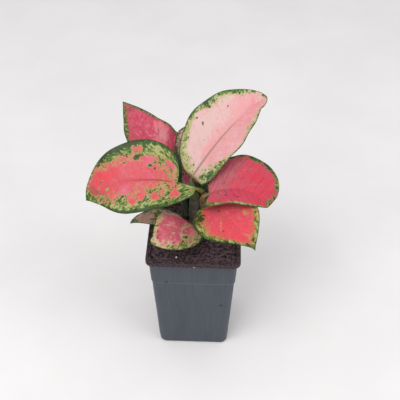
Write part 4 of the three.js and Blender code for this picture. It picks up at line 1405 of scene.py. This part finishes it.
def leaf_material(look, settings):
    paint = {name: seen(*screen) for name, screen in look.colours.items()}
    s = Finish(look.slot, paint["blush"])
    along, across, edge = s.stored("blade")
    root, _, row = s.stored("flow")
    green, cream, dusk = s.stored("zone")
    light, hot, spot = s.stored("tint")
    under, stalk, rib = s.stored("part")

    def pattern(scale, detail=2.0, rough=0.5, shift=0, x=along, y=across):
        """Noise over the flat blade, of its own on each leaf and for each shift."""
        return s.cloud(s.vector(x, y, look.seed + shift), scale, detail, rough)

    # the pink of the blade, in broad clouds and in fine streaks along the veins
    streak = pattern(5.5, 4, 0.65, 5, root, s.times(across, 0.6))
    wave = s.about(pattern(3.2, 3, 0.6), 2.2)
    swell = s.about(pattern(1.5, 3, 0.6, 31), 3.0)
    s.lay(paint["rose"], s.math("SUBTRACT", wave, s.add(swell, hot)), 0.0, 0.6, 0.85)
    # brighter pink at the hot marks, on leaf_back_left and leaf_front_left in part painted light
    # and painted highlights
    s.lay(paint["hot"], s.add(hot, wave, swell), 0.15, 0.75)
    # darker pink at the dusk marks, on leaf_front_right painted shade
    dusky = s.add(dusk, s.about(streak, 1.8), s.add(wave, s.about(pattern(0.6), 1.0)))
    s.lay(paint["deep"], dusky, 0.2, 0.85)
    lines = s.step(streak, 0.50, 0.64, 0.0, 0.45)
    s.veil(paint["wash"], s.times(lines, s.step(dusk, -0.2, 0.8, 0.8, 1.7), clamp=True))
    s.lay(paint["cream"], streak, 0.44, 0.28, 0.25)
    # cream patches; on leaf_back_left one of them is a painted highlight
    s.lay(paint["cream"], s.add(cream, s.about(streak, 1.2), wave), 0.18, 0.85, 0.95)
    # side veins, and a finer set between them
    bent = s.add(row, s.about(pattern(1.1), 0.3))
    line = s.step(s.math("PINGPONG", bent, 0.5), 0.09, 0.012)
    fade = s.times(s.step(edge, 0.15, 0.5), s.step(pattern(1.6), 0.40, 0.6))
    veins = s.times(line, s.add(fade, s.times(dusk, 0.5)), clamp=True)
    finer = s.step(s.math("PINGPONG", s.times(bent, 4.0), 0.5), 0.24, 0.05)
    finer = s.times(finer, s.step(pattern(2.4, 3), 0.5, 0.66))
    s.veil(paint["vein"], s.times(finer, look.vein_share * 0.6))
    s.veil(paint["vein"], s.times(veins, look.vein_share * 1.6, clamp=True))
    # green mottling with a tan edge
    grain = pattern(5.6, 3, 0.6)
    level = s.add(green, s.about(pattern(2.1, 4, 0.6, 23), look.ragged), s.about(streak, 0.8),
                  s.about(grain, s.step(green, -0.4, 0.3, 0.7, 2.2)))
    hue = s.add(pattern(3.0, 5, 0.66, 11, s.times(root, 0.8)), s.times(light, 0.14))
    cut = 0.60 - 0.2 * look.pale_green
    leafy = s.mix(s.step(hue, cut - 0.10, cut - 0.05), settings.dark, settings.middle)
    leafy = s.mix(s.step(hue, cut, cut + 0.05), leafy, settings.light)
    leafy = s.mix(s.step(grain, 0.56, 0.68, 0.0, 0.55), leafy, settings.dark)
    s.lay(paint["tan"], s.add(green, wave), -0.5, 0.25, look.halo)
    s.lay(settings.brown, level, -0.12, 0.05, 0.35)
    s.lay(paint["tan"], level, 0.02, 0.2, 0.9)
    s.lay(leafy, level, 0.28, 0.42, 0.94)
    # dark flecks beside the margin, placed specks, and the thin dark margin itself
    flecks = s.step(pattern(4.6, 2, 0.55, 17), 0.64, 0.70)
    s.veil(settings.dark, s.times(s.times(flecks, s.step(green, -0.3, 0.3)), 0.85))
    s.lay(settings.speck, spot, 0.25, 0.75, 0.9)
    thin = MARGIN_LINE * CENTIMETRES
    s.lay(settings.rim, edge, thin * 1.6, thin * 0.5, 0.85)
    # midrib, underside and stalk
    s.veil(paint["rib"], rib)
    s.veil(s.mix(0.5, s.base, settings.under), under)
    lengthwise = pattern(3.0, 3, 0.6, 0, s.times(along, 0.4), s.times(across, 3.0))
    shade = [part / 2 for part in paint["stalk"]]
    s.veil(s.mix(s.step(lengthwise, 0.4, 0.62), paint["stalk"], shade), stalk)
    # relief: fine cells, sunken veins, slightly raised mottling
    height = s.add(s.times(pattern(34, 2, 0.55), 0.20), s.times(grain, 0.28), s.times(streak, 0.45))
    height = s.math("SUBTRACT", height, s.times(veins, 0.35))
    rough = s.step(pattern(1.3, 3, 0.6), 0.3, 0.7, GLOSS - 0.06, GLOSS + 0.12)
    return s.done(rough, s.bump(height, 0.00035, 0.55), 0.32)


# ------------------------------------------------------------------ operators
class OBJECT_OT_evergreen_pot(Operator):
    """Makes the moulded nursery pot, from its pad over the rim to its inner floor"""

    bl_idname = "object.evergreen_pot"
    bl_label = "Nursery Pot"

    def execute(self, context):
        settings = context.scene.evergreen_pot
        piece = extrude_rings("nursery_pot", pot_rings())
        warp_walls(piece, settings.warp)
        bore_drains(piece)
        bpy.ops.object.shade_smooth_by_angle(angle=math.radians(POT_SMOOTH))
        dress(piece, pot_material(settings), "pot_plastic", "pot")
        return {"FINISHED"}


class OBJECT_OT_evergreen_soil(Operator):
    """Makes the soil, its loose crumbs, root fibres and mineral grains"""

    bl_idname = "object.evergreen_soil"
    bl_label = "Soil"

    def execute(self, context):
        settings = context.scene.evergreen_soil
        dress(soil_body(settings.level), soil_material(settings), "peat", "soil")
        loose = soil_material(settings, "peat_crumb", 0.12)
        dry = clouded("peat_fibre", srgb(70, 54, 46), srgb(124, 98, 78), (700, 3, 0.6), 0.15,
                      0.8, (0.0003, 0.6))
        white = clouded("peat_grain", srgb(206, 200, 194), settings.grain, (900, 3, 0.6), 0.15,
                        0.85, (0.0004, 0.6))
        rng = random.Random(SEED)
        for name, models, places, material in (
                ("soil_crumbs", crumb_models, soil_crumb_places, loose),
                ("rim_crumbs", crumb_models, rim_crumb_places, loose),
                ("soil_fibres", fibre_models, fibre_places, dry),
                ("soil_grains", crumb_models, grain_places, white)):
            dress(scatter(name, models(rng), places(settings, rng)), material, "peat")
        return {"FINISHED"}


class OBJECT_OT_evergreen_stem(Operator):
    """Makes the short main stem with the scars of its old leaves"""

    bl_idname = "object.evergreen_stem"
    bl_label = "Stem"

    def execute(self, context):
        piece = extrude_rings("main_stem", stem_rings())
        bpy.ops.object.shade_smooth()
        dress(piece, stem_material(context.scene.evergreen_stem), "stem_green", "stem")
        return {"FINISHED"}


class OBJECT_OT_evergreen_leaves(Operator):
    """Makes the eight leaves, each with its stalk, veins and mottling"""

    bl_idname = "object.evergreen_leaves"
    bl_label = "Leaves"

    def execute(self, context):
        settings = context.scene.evergreen_leaf
        for node, form in FORMS.items():
            look = LOOKS[node]
            piece = leaf_body(node + "_blade", form, look, settings)
            dress(piece, leaf_material(look, settings), look.slot, node)
        return {"FINISHED"}


class OBJECT_OT_evergreen_stage(Operator):
    """Makes the plain floor, the soft lights and the camera"""

    bl_idname = "object.evergreen_stage"
    bl_label = "Stage"

    def execute(self, context):
        settings = context.scene.evergreen_stage
        deselect_all()
        bpy.ops.mesh.primitive_plane_add(size=FLOOR_SIZE)
        floor = name_piece(context.object, "floor")
        floor.data.materials.append(clouded("floor_pale", settings.floor, srgb(244, 241, 240),
                                            (7, 4, 0.55), 0.2, 0.7, (0.0004, 0.2)))
        for name, place, size, share in LIGHTS:
            bpy.ops.object.light_add(type="AREA", location=place)
            lamp = context.object
            lamp.name = name
            lamp.data.size = size
            lamp.data.energy = settings.key * share
            aim = Vector(LIGHTS_AIM) - Vector(place)
            lamp.rotation_euler = aim.to_track_quat("-Z", "Y").to_euler()
        world = context.scene.world or bpy.data.worlds.new("soft_sky")
        context.scene.world = world
        world.use_nodes = True
        sky = world.node_tree.nodes["Background"]
        sky.inputs["Color"].default_value = SKY
        sky.inputs["Strength"].default_value = settings.sky
        context.scene.view_settings.view_transform = "Standard"
        self.add_camera(context)
        return {"FINISHED"}

    @staticmethod
    def add_camera(context):
        down = math.radians(CAMERA_DOWN)
        tilt = math.radians(CAMERA_TILT)
        turn = Matrix.Rotation(math.radians(CAMERA_TURN), 3, "Z")
        right = Vector((1, 0, 0))
        above = Vector((0, math.sin(down), math.cos(down)))
        axes = (right * math.cos(tilt) + above * math.sin(tilt),
                above * math.cos(tilt) - right * math.sin(tilt),
                Vector((0, -math.cos(down), math.sin(down))))
        matrix = Matrix([turn @ axis for axis in axes]).transposed().to_4x4()
        matrix.translation = turn @ Vector(CAMERA_PLACE)
        bpy.ops.object.camera_add()
        camera = context.object
        camera.name = "camera"
        camera.matrix_world = matrix
        camera.data.sensor_width = CAMERA_SENSOR
        camera.data.lens = CAMERA_LENS
        camera.data.clip_start, camera.data.clip_end = CAMERA_CLIP
        context.scene.camera = camera


class VIEW3D_PT_evergreen(Panel):
    bl_idname = "VIEW3D_PT_evergreen"
    bl_label = "Potted Chinese Evergreen"
    bl_space_type = "VIEW_3D"
    bl_region_type = "UI"
    bl_category = "Evergreen"

    def draw(self, context):
        for operator in OPERATORS:
            self.layout.operator(operator.bl_idname)
        for key in SETTINGS:
            group = getattr(context.scene, key)
            box = self.layout.box()
            for name in group.bl_rna.properties.keys():
                if name not in {"rna_type", "name"}:
                    box.prop(group, name)


OPERATORS = (OBJECT_OT_evergreen_stage, OBJECT_OT_evergreen_pot, OBJECT_OT_evergreen_soil,
             OBJECT_OT_evergreen_stem, OBJECT_OT_evergreen_leaves)
SETTINGS = {
    "evergreen_pot": EvergreenPotSettings,
    "evergreen_soil": EvergreenSoilSettings,
    "evergreen_stem": EvergreenStemSettings,
    "evergreen_leaf": EvergreenLeafSettings,
    "evergreen_stage": EvergreenStageSettings,
}


def register():
    for kind in (*SETTINGS.values(), *OPERATORS, VIEW3D_PT_evergreen):
        bpy.utils.register_class(kind)
    for key, kind in SETTINGS.items():
        setattr(bpy.types.Scene, key, PointerProperty(type=kind))


def unregister():
    for key in SETTINGS:
        delattr(bpy.types.Scene, key)
    for kind in reversed((*SETTINGS.values(), *OPERATORS, VIEW3D_PT_evergreen)):
        bpy.utils.unregister_class(kind)


def main():
    register()
    bpy.ops.object.evergreen_stage()
    bpy.ops.object.evergreen_pot()
    bpy.ops.object.evergreen_soil()
    bpy.ops.object.evergreen_stem()
    bpy.ops.object.evergreen_leaves()
    deselect_all()


if __name__ == "__main__":
    main()
